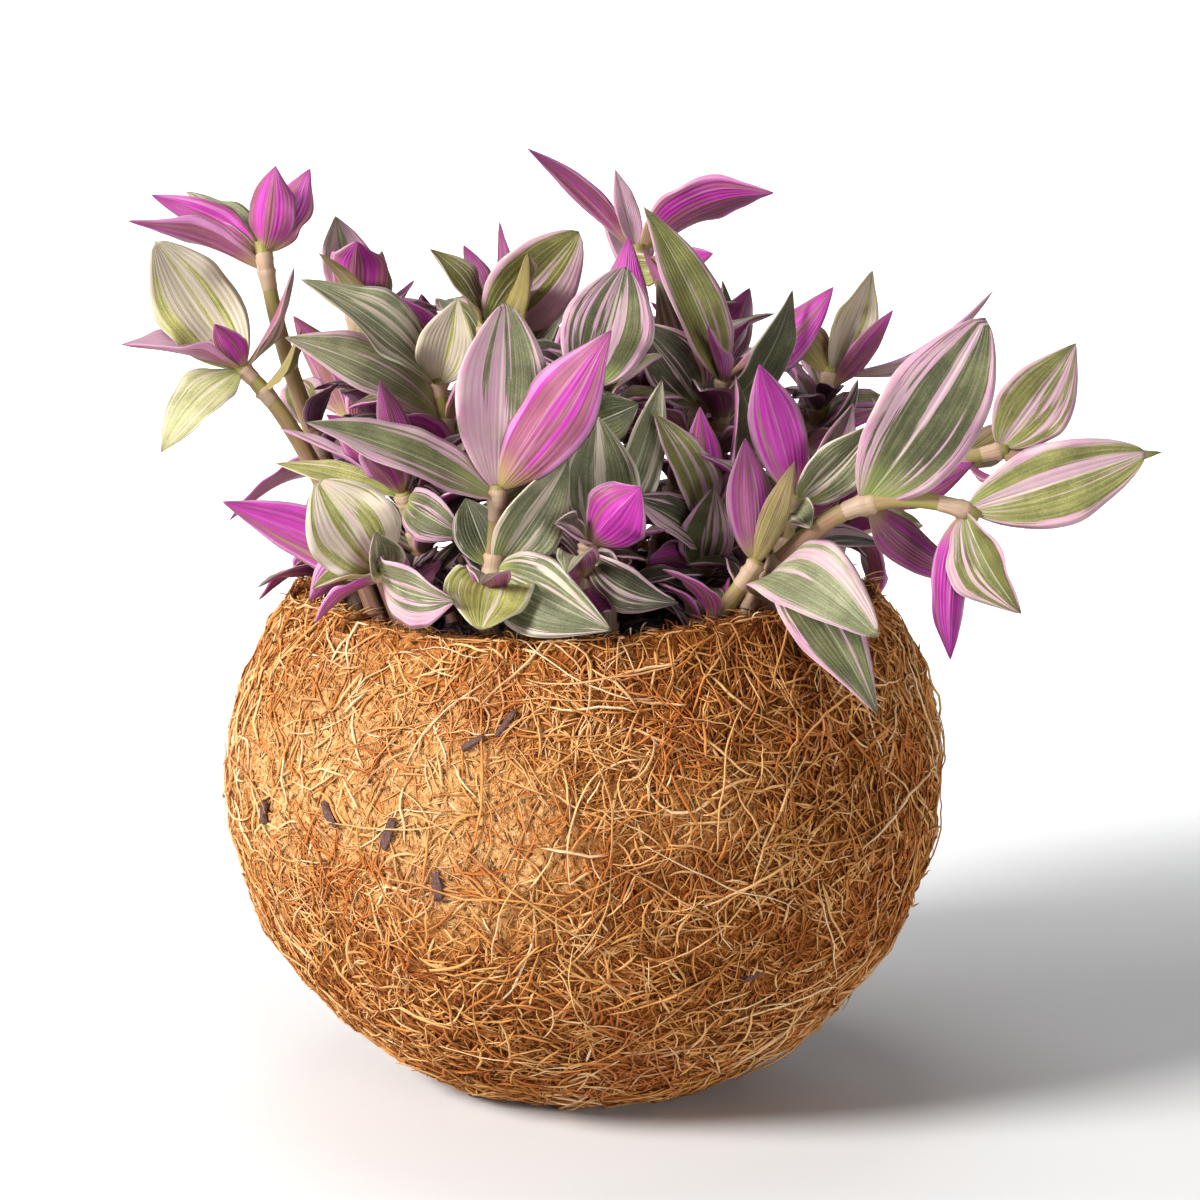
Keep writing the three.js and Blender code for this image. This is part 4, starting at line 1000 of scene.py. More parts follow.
def small_lumps(angle, z):
    """Lumps of the mat a few millimetres wide, about half a millimetre high."""
    lump = np.sin(31 * angle + 0.5 * z + 2 * np.sin(0.3 * z))
    lump = lump * np.sin(0.9 * z + 3 * np.sin(7 * angle))
    grit = np.sin(67 * angle - 1.3 * z + 1) * np.sin(1.9 * z + 5 * np.sin(13 * angle))
    return 0.26 * lump + 0.16 * grit


def fade_at_base(z):
    return np.clip(z / 4, 0, 1)


def rim_share(z):
    """How much a height takes part in the rise of the rim: 0 at the soil, 1 at the rim."""
    return np.clip((z - SOIL_LEVEL) / (POT_HEIGHT - SOIL_LEVEL), 0, 1) ** 2


def about_axis(radius, angle, z):
    """Points or directions at a radius and an angle round the pot's axis."""
    return np.stack(np.broadcast_arrays(radius * np.cos(angle), radius * np.sin(angle), z), -1)


MAT_DEPTH = 0.9
# Where the mould pressed the mat smooth: angle, height, spread in degrees and mm, and how much.
SMOOTH_PATCHES = (
    (-128, 86, 34, 28, 1.0),
    (-165, 62, 26, 30, 0.8),
    (-106, 66, 18, 20, 0.75),
    (-72, 78, 10, 9, 0.6),
    (12, 80, 26, 20, 0.8),
    (100, 50, 32, 28, 0.8),
    (60, 95, 18, 12, 0.6),
)


def smoothness(angle, z):
    smooth = 0
    for middle, height, wide, high, share in SMOOTH_PATCHES:
        away = degrees_off(angle, middle) / wide
        smooth = smooth + share * np.exp(-(away**2) - ((z - height) / high) ** 2)
    return np.clip(smooth, 0, 1)


def lumps(angle, z):
    """The skin of the mat lies deeper where it is a tangle than where it is smooth."""
    tangle = 1 - smoothness(angle, z)
    return broad_lumps(angle, z) + small_lumps(angle, z) - MAT_DEPTH * tangle


def wall_radius(angle, z):
    return pot_radius(z) + lumps(angle, z) * fade_at_base(z)


print("belly radius:", round(float(pot_radius(BELLY_HEIGHT)), 1), "mm")


# %% [markdown]
# ## Room for more leaves
#
# Before a leaf is added in the thick of the plant, its place has to be free. Five rows of three
# points stand for the blade, and a search tree of every shoot tells whether it would cut through
# something. Zones say where leaves may be at all. Trying every place by eye would take days.


# %% Where a leaf has room
LEAST_ABOVE_SOIL = 101.5
# Radii over the soil, in front and at the back, the foremost place, and the top of the thicket.
INSIDE_RIM, INSIDE_BACK, FOREMOST, THICKET_TOP = 57, 66, -53, 165
# The inside of the crown: its lowest and highest place, its left end, and its radius.
CROWN_LOW, CROWN_TOP, CROWN_LEFT, CROWN_RADIUS = 122, 192, -56, 60


def clear_of_pot(point):
    """Over the soil, over the rim, or outside the wall."""
    far = math.hypot(point.x, point.y)
    if far < INSIDE_RIM:
        return point.z > LEAST_ABOVE_SOIL
    over_rim = point.z > POT_HEIGHT + 2 + rim_rise(math.atan2(point.y, point.x))
    return over_rim or far > pot_radius(point.z) + 3


def in_shade(point):
    """Low down, over the soil, at the back a little further out."""
    reach = INSIDE_RIM if point.y < 0 else INSIDE_BACK
    inside = point.y > FOREMOST and math.hypot(point.x, point.y) < reach
    return inside and point.z < THICKET_TOP and clear_of_pot(point)


def in_canopy(point):
    """Inside the dome that the upper leaves make."""
    inside = math.hypot(point.x / 1.3, point.y - 8) < CROWN_RADIUS
    return CROWN_LOW < point.z < CROWN_TOP and point.x > CROWN_LEFT and inside


def has_room(leaf, trees, zone, start=0.3):
    """Whether a leaf is in its zone, and from start to its tip out of every other blade."""
    bends = [Bend(leaf, mix(start, 1, share)) for share in (0, 0.3, 0.55, 0.8, 1)]
    flat = [bend.point(s, 1) for bend in bends for s in (-1, 0, 1)]
    if not all(zone(point) for point in flat):
        return False
    first = [3 * row + side for row in range(4) for side in (0, 1)]
    faces = [(c, c + 1, c + 4, c + 3) for c in first]
    mine = BVHTree.FromPolygons(flat, faces)
    return not any(mine.overlap(tree) for tree in trees)


TREES = {name: BVHTree.FromBMesh(build.mesh) for name, build in BUILDS.items()}
print(len(TREES), "search trees")

# %% [markdown]
# ## Leaves that go back
#
# To keep the solids apart, the CAD part moved some leaves away from where the photo shows them. The
# finer blades are thin, so some of these leaves do fit in their own place, or nearer to it.


# %% Take the moved leaves back
def take_back(leaf, own):
    """A moved leaf goes back towards its row's place if there is room.

    At its foot it may touch its own shoot."""
    settled = leaf.chord
    others = [tree for name, tree in TREES.items() if name != own]
    for share in (1, 0.7, 0.4):
        leaf.chord = settled.lerp(leaf.wanted, share)
        clear = has_room(leaf, others, clear_of_pot)
        if clear and has_room(leaf, [TREES[own]], clear_of_pot, 0.55):
            return 1
    leaf.chord = settled
    return 0


def add_moved_leaves():
    back = 0
    for name, shoot in SHOOTS.items():
        for leaf in (leaf for leaf in shoot.grown if leaf.moved()):
            back += take_back(leaf, name)
            add_leaf(BUILDS[name], leaf, leaf.seed, BLADE, ALONG)
            TREES[name] = BVHTree.FromBMesh(BUILDS[name].mesh)
    return back


print("moved leaves that went back:", add_moved_leaves())

# %% [markdown]
# ## Small leaves in the shade
#
# Deep in the plant the photo shows a thicket of small, dark leaves close over the soil, on side
# shoots that never reached the light, and the crown is full of leaves too. They would be wasted on
# the solids. Here each shoot tries some by a fixed draw, and a small leaf stays where it has room.
# Those over the soil are painted darker, as painted shade.


# %% Fill the shade
SHADE_LOOKS = "purple dusky purple wine dusky wine purple margined magenta silver".split()
CANOPY_LOOKS = "striped margined wine purple magenta olive_pink dusky banded rose wine".split()
SMALL_ALONG = 12
SMALL_BLADE = flat_blade(8, SMALL_ALONG)
# How much darker and duller a leaf deep in the plant is painted: painted shade.
DEEP_SHADE = 0.25


def small_leaf(shoot, draw, low, high, lengths, looks, shade):
    at = mix(low, high, draw())
    length = mix(*lengths, draw())
    leaf = ruled_leaf(shoot, at, mix(45, 90, draw()), draw() * 6.28, length, 0.16, 24, draw)
    leaf.width = length * mix(0.42, 0.58, draw())
    leaf.finish_by(draw)
    leaf.look, leaf.shade = looks[int(draw() * len(looks))], shade
    return leaf


def fill(tries, low, high, lengths, looks, shade, zone, seed):
    """Tries small leaves on every shoot, and tells how many found room in the zone."""
    added = 0
    for number, (name, shoot) in enumerate(SHOOTS.items()):
        draw = draws_from(seed + number)
        for _ in range(tries):
            leaf = small_leaf(shoot, draw, low, high, lengths, looks, shade)
            if has_room(leaf, TREES.values(), zone):
                add_leaf(BUILDS[name], leaf, draw() * 3, SMALL_BLADE, SMALL_ALONG)
                TREES[name] = BVHTree.FromBMesh(BUILDS[name].mesh)
                added += 1
    return added


# Tries for each shoot, the lowest and highest share of the stem, the shortest and longest, the
# looks, how much painted shade darkens them, the zone, and the seed.
print("canopy leaves:", fill(18, 0.5, 0.97, (18, 27), CANOPY_LOOKS, 0, in_canopy, 650))
print("shade leaves:", fill(22, 0.14, 0.6, (11, 19), SHADE_LOOKS, DEEP_SHADE, in_shade, 600))
print("gap leaves:", fill(14, 0.35, 0.9, (9, 15), SHADE_LOOKS, DEEP_SHADE, in_shade, 700))

# %% [markdown]
# ## From shoots to pieces
#
# A real stem and its leaves grow as one, so each shoot becomes one piece, in place of its solid.
# Points that meet at the edge of a blade are made one, so that every blade is closed.

# %% Each shoot becomes a piece
leafy_faces = 0
for name, build in BUILDS.items():
    piece = build.finished("leafy_stem_" + name, TOP, UNDERSIDE, STEM_SKIN, weld=1e-5)
    leafy_faces += len(piece.data.polygons)
    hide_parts("shoot_" + name)
print("leafy stems:", leafy_faces, "faces")

# %% [markdown]
# ## The coir
#
# Pressed coir is golden tan to rusty brown. It shows short dark pits between its fibres, pale
# straw coloured hairs on top, and hardly any gloss. Noise that is stretched in three different
# directions gives the mat, and a cut-off of it gives the pits. The darkness of the pits and of
# the gaps between the strands is painted shade. The relief on the wall carries the finest fibres,
# which are too many to model. Those that stand out are real pieces, made further down.


# %% The finish of the pressed mat
# Turns and stretches of the three noises that cross in the mat.
CROSSINGS = (
    ((0.5, 0.2, 0.3), (1.15, 0.13, 0.7)),
    ((-0.6, 0.9, 1.2), (1.3, 0.16, 0.62)),
    ((1.1, -0.4, 2.3), (1.0, 0.12, 0.85)),
)
# How far the strands swing to either side, in millimetres.
SWAY = 5


def pressed_coir():
    finish = Finish("pressed_coir", Specular_IOR_Level=0.15)
    at = finish.place()
    slow = {"Vector": at, "Scale": 0.22, "Detail": 1}
    sway = finish.node("ShaderNodeTexNoise", inputs=slow, output=1)
    sum_up = {"operation": "MULTIPLY_ADD"}
    swayed = finish.node("ShaderNodeVectorMath", sum_up, {0: sway, 1: (SWAY,) * 3, 2: at})
    strands = []
    for turn, stretch in CROSSINGS:
        turned = {"Vector": swayed, "Rotation": turn, "Scale": stretch}
        strands.append(finish.grain(finish.node("ShaderNodeMapping", inputs=turned), 1, 3, 0.65))
    weave = strands[0].larger(strands[1]).larger(strands[2])
    smooth, _, _ = finish.attribute("mat")
    patch = finish.grain(at, 0.035, 3, 0.55)
    mottle = finish.grain(at, 0.4, 4, 0.6)
    fine = finish.grain(at, 1.6, 3, 0.7)
    # The tone is darkest between the strands: partly the coir's own colour, partly painted shade in
    # the gaps under the fibres.
    tone = (weave - 0.5) * 1.9 + (mottle - 0.5) * 0.6 + (fine - 0.5) * 0.7 + 0.16 + smooth * 0.32
    body = finish.ramp(tone, "#351505", "#753b10", "#ad7138", "#d39f63", "#e8c28b")
    rusty = finish.mix(mottle, "#7d4216", "#b96b28")
    paler = finish.ramp(tone, "#71421c", "#b07c46", "#d6aa73", "#e2bf8e")
    body = finish.mix(smooth * 0.45, body, paler)
    body = finish.mix((patch + mottle * 0.2).rise(0.5, 0.75) * (0.6 - smooth * 0.5), body, rusty)
    # The pits are painted nearly black-brown: painted shade in the hollows of the mat.
    slits = [(1 - strand).rise(0.6, 0.64) for strand in strands]
    pits = slits[0].larger(slits[1]).larger(slits[2]) * (mottle + fine * 0.5).rise(0.67, 0.77)
    body = finish.mix(pits * 0.85, body, "#3b1a06")
    finish.bump(weave * 0.8 + mottle * 0.5 + fine * 0.3 - pits * 0.9, 1.0)
    return finish.paint(Base_Color=body, Roughness=0.86 + mottle * 0.12)


COIR = pressed_coir()
print("finish:", COIR.name)

# %% [markdown]
# ## The pot's wall
#
# The pot is round, so its outline is spun once round the upright axis, and the lumps are pressed
# into the skin afterwards. The inside is spun along with it, so that the rim has its real
# thickness.


# %% Spin the wall
# The rounded lip: how far in from the outside, and how high. Then the heights of the inside.
LIP = ((0.5, 110.8), (1.5, 111.2), (3.2, 111), (5, 110.8), (6.2, 110))
INSIDE_HEIGHTS = (108, 106, 104, 102, 100, 98, 90, 78, 66, 48, 28, 16, 9)
# The heights of the outside: near the foot, and then from, to and in steps of so much.
FOOT_HEIGHTS, SKIN_HEIGHTS = (0.4, 1.2, 2.2), (3.4, 110.4, 1.18)
# Steps round the axis, and the height above which everything belongs to the lip.
ROUNDS, LIP_START = 320, 110.5


def outline_points():
    flat_spot = [(radius, 0) for radius in (0, 12, 20)]
    heights = np.concatenate([FOOT_HEIGHTS, np.arange(*SKIN_HEIGHTS)])
    outside = [(float(pot_radius(z)), float(z)) for z in heights]
    lip = float(pot_radius(POT_HEIGHT))
    rounded = [(lip - inwards, z) for inwards, z in LIP]
    inside = [(float(cavity_radius(z)), z) for z in INSIDE_HEIGHTS]
    return flat_spot + outside + rounded + inside + [(0, INSIDE_HEIGHTS[-1])]


def spin(points, rounds):
    """An outline of radii and heights, turned once round the upright axis."""
    made = bmesh.new()
    verts = [made.verts.new((r, 0, z)) for r, z in points]
    for a, b in zip(verts, verts[1:]):
        made.edges.new((a, b))
    whole = made.verts[:] + made.edges[:]
    turn = {"cent": (0, 0, 0), "axis": (0, 0, 1), "angle": 2 * math.pi}
    bmesh.ops.spin(made, geom=whole, steps=rounds, use_merge=True, **turn)
    bmesh.ops.remove_doubles(made, verts=made.verts, dist=1e-4)
    bmesh.ops.recalc_face_normals(made, faces=made.faces)
    return made


def press_lumps(x, y, z):
    """Where a point of the smooth bowl goes: lumps on the skin, none inside, and a torn rim."""
    radius, angle = np.hypot(x, y), np.arctan2(y, x)
    lip = (z > LIP_START) | (radius < pot_radius(z) - 0.4)
    push = np.where(lip, small_lumps(angle, z + radius) * 1.2, lumps(angle, z)) * fade_at_base(z)
    inside = radius < cavity_radius(z) + 1
    push = np.where(inside & (z < 99), 0, push)
    grown = (radius + push) / np.maximum(radius, 1)
    torn = 0.55 * np.sin(23 * angle + radius) * np.sin(9 * angle + 1) + 0.3 * np.sin(61 * angle)
    return x * grown, y * grown, z + rim_share(z) * (rim_rise(angle) + torn)


def build_pot():
    made = spin(outline_points(), ROUNDS)
    for vert in made.verts:
        vert.co = Vector([float(c) for c in press_lumps(*vert.co)]) * MM
    mesh = mesh_of(made, "coir_bowl")
    places = np.zeros(len(mesh.vertices) * 3)
    mesh.vertices.foreach_get("co", places)
    x, y, z = places.reshape(-1, 3).T / MM
    told = np.zeros((len(x), 3))
    told[:, 0] = smoothness(np.arctan2(y, x), z)
    tell(mesh, "mat", told)
    piece = smooth_object("coir_bowl", mesh, COIR)
    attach(piece, "root")
    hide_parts("coir_pot")
    return piece


bowl = build_pot()
print("pot wall:", len(bowl.data.polygons), "faces")

# %% [markdown]
# ## Loose fibres
#
# What makes coir look like coir is the tangle on its skin: short bits pressed into the mat,
# longer curly ones across them, and a few loose hairs that stand off and catch the light. A fibre
# is a walk over the skin that keeps turning a little. All walks are taken at the same time with
# arrays, and each is then given a three-sided rod, the fewest faces that still throw a shadow.
# Blender's hair would look alike, but it isn't a mesh, and the part has to be one.


# %% The finish of the fibres
def fibre_finish(name, *stops):
    finish = Finish(name, Specular_IOR_Level=0.2)
    tone, along, _ = finish.attribute("fibre")
    patch = finish.grain(finish.place(0.035), 1, 2, 0.5)
    body = finish.ramp(tone + (patch - 0.5) * 0.5 + (along - 0.5) * 0.1, *stops)
    rust = finish.grain(finish.place(0.05), 1, 3, 0.6) + (1 - tone) * 0.12
    body = finish.mix(rust.rise(0.54, 0.7) * 0.6, body, "#a8561d")
    return finish.paint(Base_Color=body, Roughness=0.66 + tone * 0.2)


FIBRE = fibre_finish("coir_fibre", "#7c3d10", "#b06a2e", "#d09453", "#e2b47c", "#ecd1a8")
print("finish:", FIBRE.name)


# %% Walks over the skin of the pot
def heights_by_area(draw, count, low, high):
    """Random heights, as many for each patch of skin."""
    z = np.linspace(low, high, 400)
    slope = np.gradient(pot_radius(z), z)
    area = np.cumsum(pot_radius(z) * np.sqrt(1 + slope**2))
    return np.interp(draw.uniform(area[0], area[-1], count), area, z)


def slope_at(z):
    """How much the radius grows for each millimetre up."""
    return pot_radius(z + 0.5) - pot_radius(z - 0.5)


def walk(draw, count, steps, lengths, turns, band):
    """Angles and heights of fibres that wander over the skin."""
    angle = draw.uniform(-math.pi, math.pi, count)
    z = heights_by_area(draw, count, *band)
    heading = draw.uniform(0, 2 * math.pi, count)
    turn = draw.normal(0, turns, count)
    step = draw.uniform(*lengths, count) / steps
    angles, heights = [], []
    for _ in range(steps + 1):
        angles.append(angle)
        heights.append(z)
        slope = slope_at(z)
        angle = angle + np.cos(heading) * step / pot_radius(z)
        z = z + np.sin(heading) * step / np.sqrt(1 + slope**2)
        z = np.clip(z, 1.0, POT_HEIGHT - 0.3)
        heading = heading + (turn + draw.normal(0, turns * 1.6, count)) * step
    return np.array(angles), np.array(heights)


def on_wall(angle, z, lift):
    """Points at a height over the skin, and the direction away from it."""
    slope = slope_at(z)
    flat = 1 / np.sqrt(1 + slope**2)
    out = about_axis(flat, angle, -slope * flat)
    skin = about_axis(wall_radius(angle, z), angle, z + rim_share(z) * rim_rise(angle))
    return skin + out * lift[..., None], out


# %% Rods for the fibres
BUNDLE = 50


def many_of(part, count, name):
    """A mesh with a number of copies of a part. Bundles of copies save time."""
    bundle, made = bmesh.new(), bmesh.new()
    for _ in range(BUNDLE):
        bundle.from_mesh(part)
    tied = mesh_of(bundle, "bundle")
    for _ in range(count // BUNDLE):
        made.from_mesh(tied)
    return mesh_of(made, name)


def at_length_one(vectors):
    return vectors / (np.linalg.norm(vectors, axis=-1, keepdims=True) + 1e-9)


def fibre_piece(name, paths, outward, widths, tones, steps):
    """One piece of many fibres.

    Paths and outward have a row for each step and a column for each fibre."""
    count = paths.shape[1]
    rod = straight_rod(3, steps)
    mesh = many_of(rod, count, name)
    each = len(rod.vertices)
    local = np.zeros(count * each * 3)
    mesh.vertices.foreach_get("co", local)
    local = local.reshape(count, each, 3)
    ring = np.rint(local[0, :, 2]).astype(int)
    along = at_length_one(np.gradient(paths, axis=0))
    away = at_length_one(outward - along * (outward * along).sum(-1, keepdims=True))
    beside = np.cross(along, away)
    thin = 1 - 0.65 * np.abs(2 * ring / steps - 1) ** 3
    radius = widths[:, None] / 2 * thin[None, :]
    middle, out, side = (np.swapaxes(a[ring], 0, 1) for a in (paths, away, beside))
    places = middle + (out * local[..., :1] + side * local[..., 1:2]) * radius[..., None]
    mesh.vertices.foreach_set("co", (places * MM).astype(np.float32).ravel())
    told = np.zeros((count, each, 3))
    told[..., 0], told[..., 1] = tones[:, None], ring[None, :] / steps
    tell(mesh, "fibre", told)
    mesh.update()
    piece = smooth_object(name, mesh, FIBRE)
    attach(piece, "root")
    print(name, count, "fibres,", len(mesh.polygons), "faces")
    return piece


# Fibres under the pot keep this far over the floor.
LEAST_HEIGHT = 0.35


def lay_fibres(name, seed, count, steps, lengths, widths, turns, lifts, tones, band):
    draw = np.random.default_rng(seed)
    angle, z = walk(draw, count, steps, lengths, turns, band)
    share = np.linspace(0, 1, steps + 1)[:, None]
    low, loop, loose = lifts
    sunk = smoothness(angle[0], z[0])
    rest = draw.uniform(low - 0.35, low + 0.35, count) - 0.8 * sunk
    arch = loop * draw.random(count) ** 2 * np.sin(math.pi * share) ** 2
    free = loose * draw.random(count) ** 3 * np.clip(share * 3 - 2, 0, 1) ** 1.5
    paths, out = on_wall(angle, z, rest + arch + free)
    paths[..., 2] = np.maximum(paths[..., 2], LEAST_HEIGHT)
    tone = np.clip(draw.normal(*tones, count) + 0.16 * sunk, 0, 1)
    wide = widths[0] + (widths[1] - widths[0]) * draw.random(count) ** 1.6
    return fibre_piece(name, paths, out, wide, tone, steps)


# Steps, and in millimetres the shortest and longest, and the thinnest and thickest. Then the turn
# for each millimetre, and how far the fibres lie, arch and stand off the skin.
PRESSED = 3, (2.5, 9), (0.3, 0.75), 0.06, (0.45, 0.35, 0.7)
CURLY = 7, (6, 18), (0.34, 0.8), 0.06, (0.95, 0.6, 1.2)
HAIRS = 18, (18, 46), (0.35, 0.75), 0.022, (1.3, 1.3, 2.0)
STRIPS = 7, (8, 22), (0.9, 1.6), 0.012, (0.55, 0.2, 0.4)
# Name, seed, count, kind, the mean and the spread of the tone, and the band of heights.
FIBRE_LAYERS = (
    ("pressed_fibres_lower", 11, 9000, *PRESSED, (0.36, 0.2), (1.5, 60)),
    ("pressed_fibres_upper", 12, 9000, *PRESSED, (0.38, 0.2), (60, 110.6)),
    ("curly_fibres_lower", 13, 2100, *CURLY, (0.44, 0.2), (1.5, 62)),
    ("curly_fibres_upper", 14, 2100, *CURLY, (0.46, 0.2), (58, 110.6)),
    ("loose_hairs", 15, 200, *HAIRS, (0.62, 0.16), (6, 106)),
    ("husk_strips", 16, 50, *STRIPS, (0.16, 0.12), (8, 104)),
)
for layer in FIBRE_LAYERS:
    lay_fibres(*layer)


# %% [markdown]
# ## Fibres at the rim
#
# The rim was cut or torn, so short ends stick up from it and lean inwards over the soil.


# %% Ends along the rim
# How far in from the outside the ends stand, where the rim is highest, and how high and long.
RIM_BAND, RIM_MIDDLE, RIM_TOP, RIM_END_LENGTHS = (0.2, 7.2), 3.4, 110.2, (1.5, 7.5)


def rim_ends(count, seed, steps=5):
    draw = np.random.default_rng(seed)
    angle = draw.uniform(-math.pi, math.pi, count)
    lip = float(pot_radius(POT_HEIGHT))
    radius = lip - draw.uniform(*RIM_BAND, count)
    base = RIM_TOP + rim_rise(angle) - np.abs(radius - lip + RIM_MIDDLE) * 0.25
    length = draw.uniform(*RIM_END_LENGTHS, count)
    lean, around = draw.normal(-0.1, 0.75, count), draw.normal(0, 0.9, count)
    way = np.stack([lean, around, draw.uniform(0.1, 0.9, count)], -1)
    way /= np.linalg.norm(way, axis=-1, keepdims=True)
    share = np.linspace(0, 1, steps + 1)[:, None]
    bend = draw.normal(0, 0.25, count) * share**2
    go = share * length
    r = radius + go * (way[:, 0] + bend)
    a = angle + go * way[:, 1] / lip
    z = base + go * way[:, 2] * (1 - 0.5 * share)
    tone = np.clip(draw.normal(0.5, 0.22, count), 0, 1)
    wide = draw.uniform(0.24, 0.46, count)
    paths, out = about_axis(r, a, z), about_axis(1, a, 0.0)
    return fibre_piece("rim_fibres", paths, out, wide, tone, steps)


rim_ends(count=1500, seed=21)

# %% [markdown]
# ## Bark flecks
#
# Here and there a chip of dark husk is caught in the mat. A chip is a cube whose faces are cut
# into squares, drawn out, tapered, made ragged with noise, and laid on the skin. A plain bar
# would have edges that are too straight for husk.


# %% Chips of husk
def husk_finish():
    finish = Finish("dark_husk")
    lines = finish.grain(finish.place(2.0), 1, 3, 0.6)
    body = finish.ramp(lines, "#2c1712", "#5a3a33", "#8a6a62")
    finish.bump(lines, 0.2)
    return finish.paint(Base_Color=body, Roughness=0.7 + lines * 0.2)


# Angle round the pot, height, length and width, and the turn on the skin in degrees.
CHIPS = (
    (-120, 72, 7, 1.9, 70),
    (-112, 62, 6, 2.2, 95),
    (-131, 74, 6, 1.6, 130),
    (-102, 96, 6.5, 1.4, 60),
    (-107, 92, 5, 1.1, 35),
    (-148, 70, 5, 1.8, 80),
    (-60, 40, 5, 1.3, 20),
    (20, 66, 6, 1.7, 110),
    (75, 50, 6, 1.6, 40),
    (130, 80, 7, 1.8, 75),
)
# In millimetres: how far the middle of a chip lies over the skin, and how thick it is.
CHIP_LIFT, CHIP_THICKNESS = 0.75, 0.7
# Vector noise starts from the clock unless it has a seed.
noise.seed_set(5)


def cut_block():
    """A cube of size 1 with every face cut into squares."""
    made = bmesh.new()
    bmesh.ops.create_cube(made, size=1)
    bmesh.ops.subdivide_edges(made, edges=made.edges, cuts=4, use_grid_fill=True)
    return mesh_of(made, "block")


def build_chips():
    build, block = Builder(), cut_block()
    for number, (angle, z, length, width, turn) in enumerate(CHIPS):
        middle = np.array([math.radians(angle), z, CHIP_LIFT])
        skin, out = (Vector(v.tolist()) for v in on_wall(*middle))
        side = UP.cross(out).normalized()
        standing = Matrix((side, out.cross(side), out)).transposed().to_4x4()
        turned = Matrix.Rotation(math.radians(turn), 4, "Z")
        where = Matrix.Translation(skin) @ standing @ turned
        for vert in build.add(block):
            x, y, high = vert.co
            ragged = noise.noise_vector(Vector((x * 2.5, y * 2, high + number * 7)))
            taper = 1 - 0.55 * max(0, x) - 0.3 * max(0, -x)
            bar = Vector((x * length, y * width * taper, high * CHIP_THICKNESS))
            vert.co = where @ (bar + ragged * 0.6)
    return build.finished("husk_chips", husk_finish())


build_chips()
print(len(CHIPS), "chips")

# %% [markdown]
# ## The soil
#
# Dark potting soil fills the pot to a finger's width under the rim, a little domed and crumbly.
# Its body is spun like the pot, and crumbs are strewn on it, since bare noise on a flat face
# looks like tar.


# %% Soil and crumbs
def soil_finish():
    finish = Finish("potting_soil")
    fine = finish.grain(finish.place(), 0.9, 4, 0.65)
    broad = finish.grain(finish.place(), 0.14, 2, 0.5)
    body = finish.ramp(fine * 0.8 + broad * 0.3, "#0e0706", "#20120e", "#3a231a", "#5c3d2c")
    finish.bump(fine, 0.8)
    return finish.paint(Base_Color=body, Roughness=0.88 + fine * 0.1)


SOIL = soil_finish()
# The gap at the wall, the heights of the side, the rings of the top as shares of its radius, and
# how far out the crumbs lie.
WALL_GAP = 0.3
SIDE_HEIGHTS = (9.3, 28, 66, 92, 97)
TOP_RINGS = (0.99, 0.95, 0.9, 0.84, 0.77, 0.7, 0.62, 0.54, 0.46, 0.38, 0.3, 0.2, 0.1, 0)
CRUMB_REACH = 58


def soil_height(x, y):
    reach = float(cavity_radius(SOIL_LEVEL))
    dome = 3 * (1 - (x * x + y * y) / reach**2)
    return SOIL_LEVEL + dome + 1.1 * math.sin(0.21 * x + 1) * math.sin(0.19 * y + 0.4)


def build_soil():
    reach = float(cavity_radius(SOIL_LEVEL)) - WALL_GAP
    sides = [(float(cavity_radius(z)) - WALL_GAP, z) for z in SIDE_HEIGHTS]
    top = [(reach * share, SOIL_LEVEL) for share in TOP_RINGS]
    made = spin([(0, SIDE_HEIGHTS[0]), *sides, *top], 120)
    for vert in made.verts:
        x, y, z = vert.co
        if z > SOIL_LEVEL - 0.5:
            clumps = noise.noise(Vector((x, y, 5)) * 0.22) * 1.5
            clumps += noise.noise(Vector((x, y, 9)) * 0.7) * 0.7
            edge = min(1, (reach - math.hypot(x, y)) / 3)
            z = mix(z, soil_height(x, y) + clumps, max(0, edge))
        vert.co = Vector((x, y, z)) * MM
    piece = smooth_object("soil_body", mesh_of(made, "soil_body"), SOIL)
    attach(piece, "root")
    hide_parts("potting_soil")
    return piece


def strew_crumbs(count, seed):
    draw = np.random.default_rng(seed)
    build = Builder()
    for _ in range(count):
        far, angle = CRUMB_REACH * math.sqrt(draw.random()), draw.uniform(0, 2 * math.pi)
        x, y = far * math.cos(angle), far * math.sin(angle)
        size = draw.uniform(0.5, 1.7)
        turn = Matrix.Rotation(draw.uniform(0, 6), 4, Vector(draw.normal(size=3)).normalized())
        stretch = Matrix.Diagonal((1, draw.uniform(0.6, 1), draw.uniform(0.5, 0.9), 1))
        where = Matrix.Translation((x, y, soil_height(x, y) + size * 0.2)) @ turn @ stretch
        made = bmesh.ops.create_icosphere(build.mesh, subdivisions=1, radius=size, matrix=where)
        for vert in made["verts"]:
            vert.co += Vector(draw.normal(0, 0.13 * size, 3))
    return build.finished("soil_crumbs", SOIL)


soil = build_soil()
crumbs = strew_crumbs(count=900, seed=31)
print("soil:", len(soil.data.polygons), "faces, crumbs:", len(crumbs.data.polygons))

# %% [markdown]
# ## Floor, light and camera
#
# The photo was taken on white, with a large soft light from the upper left and in front, so that
# the pot throws a soft shadow to the right. The floor is a large pale sheet, and it belongs to
# the stage.


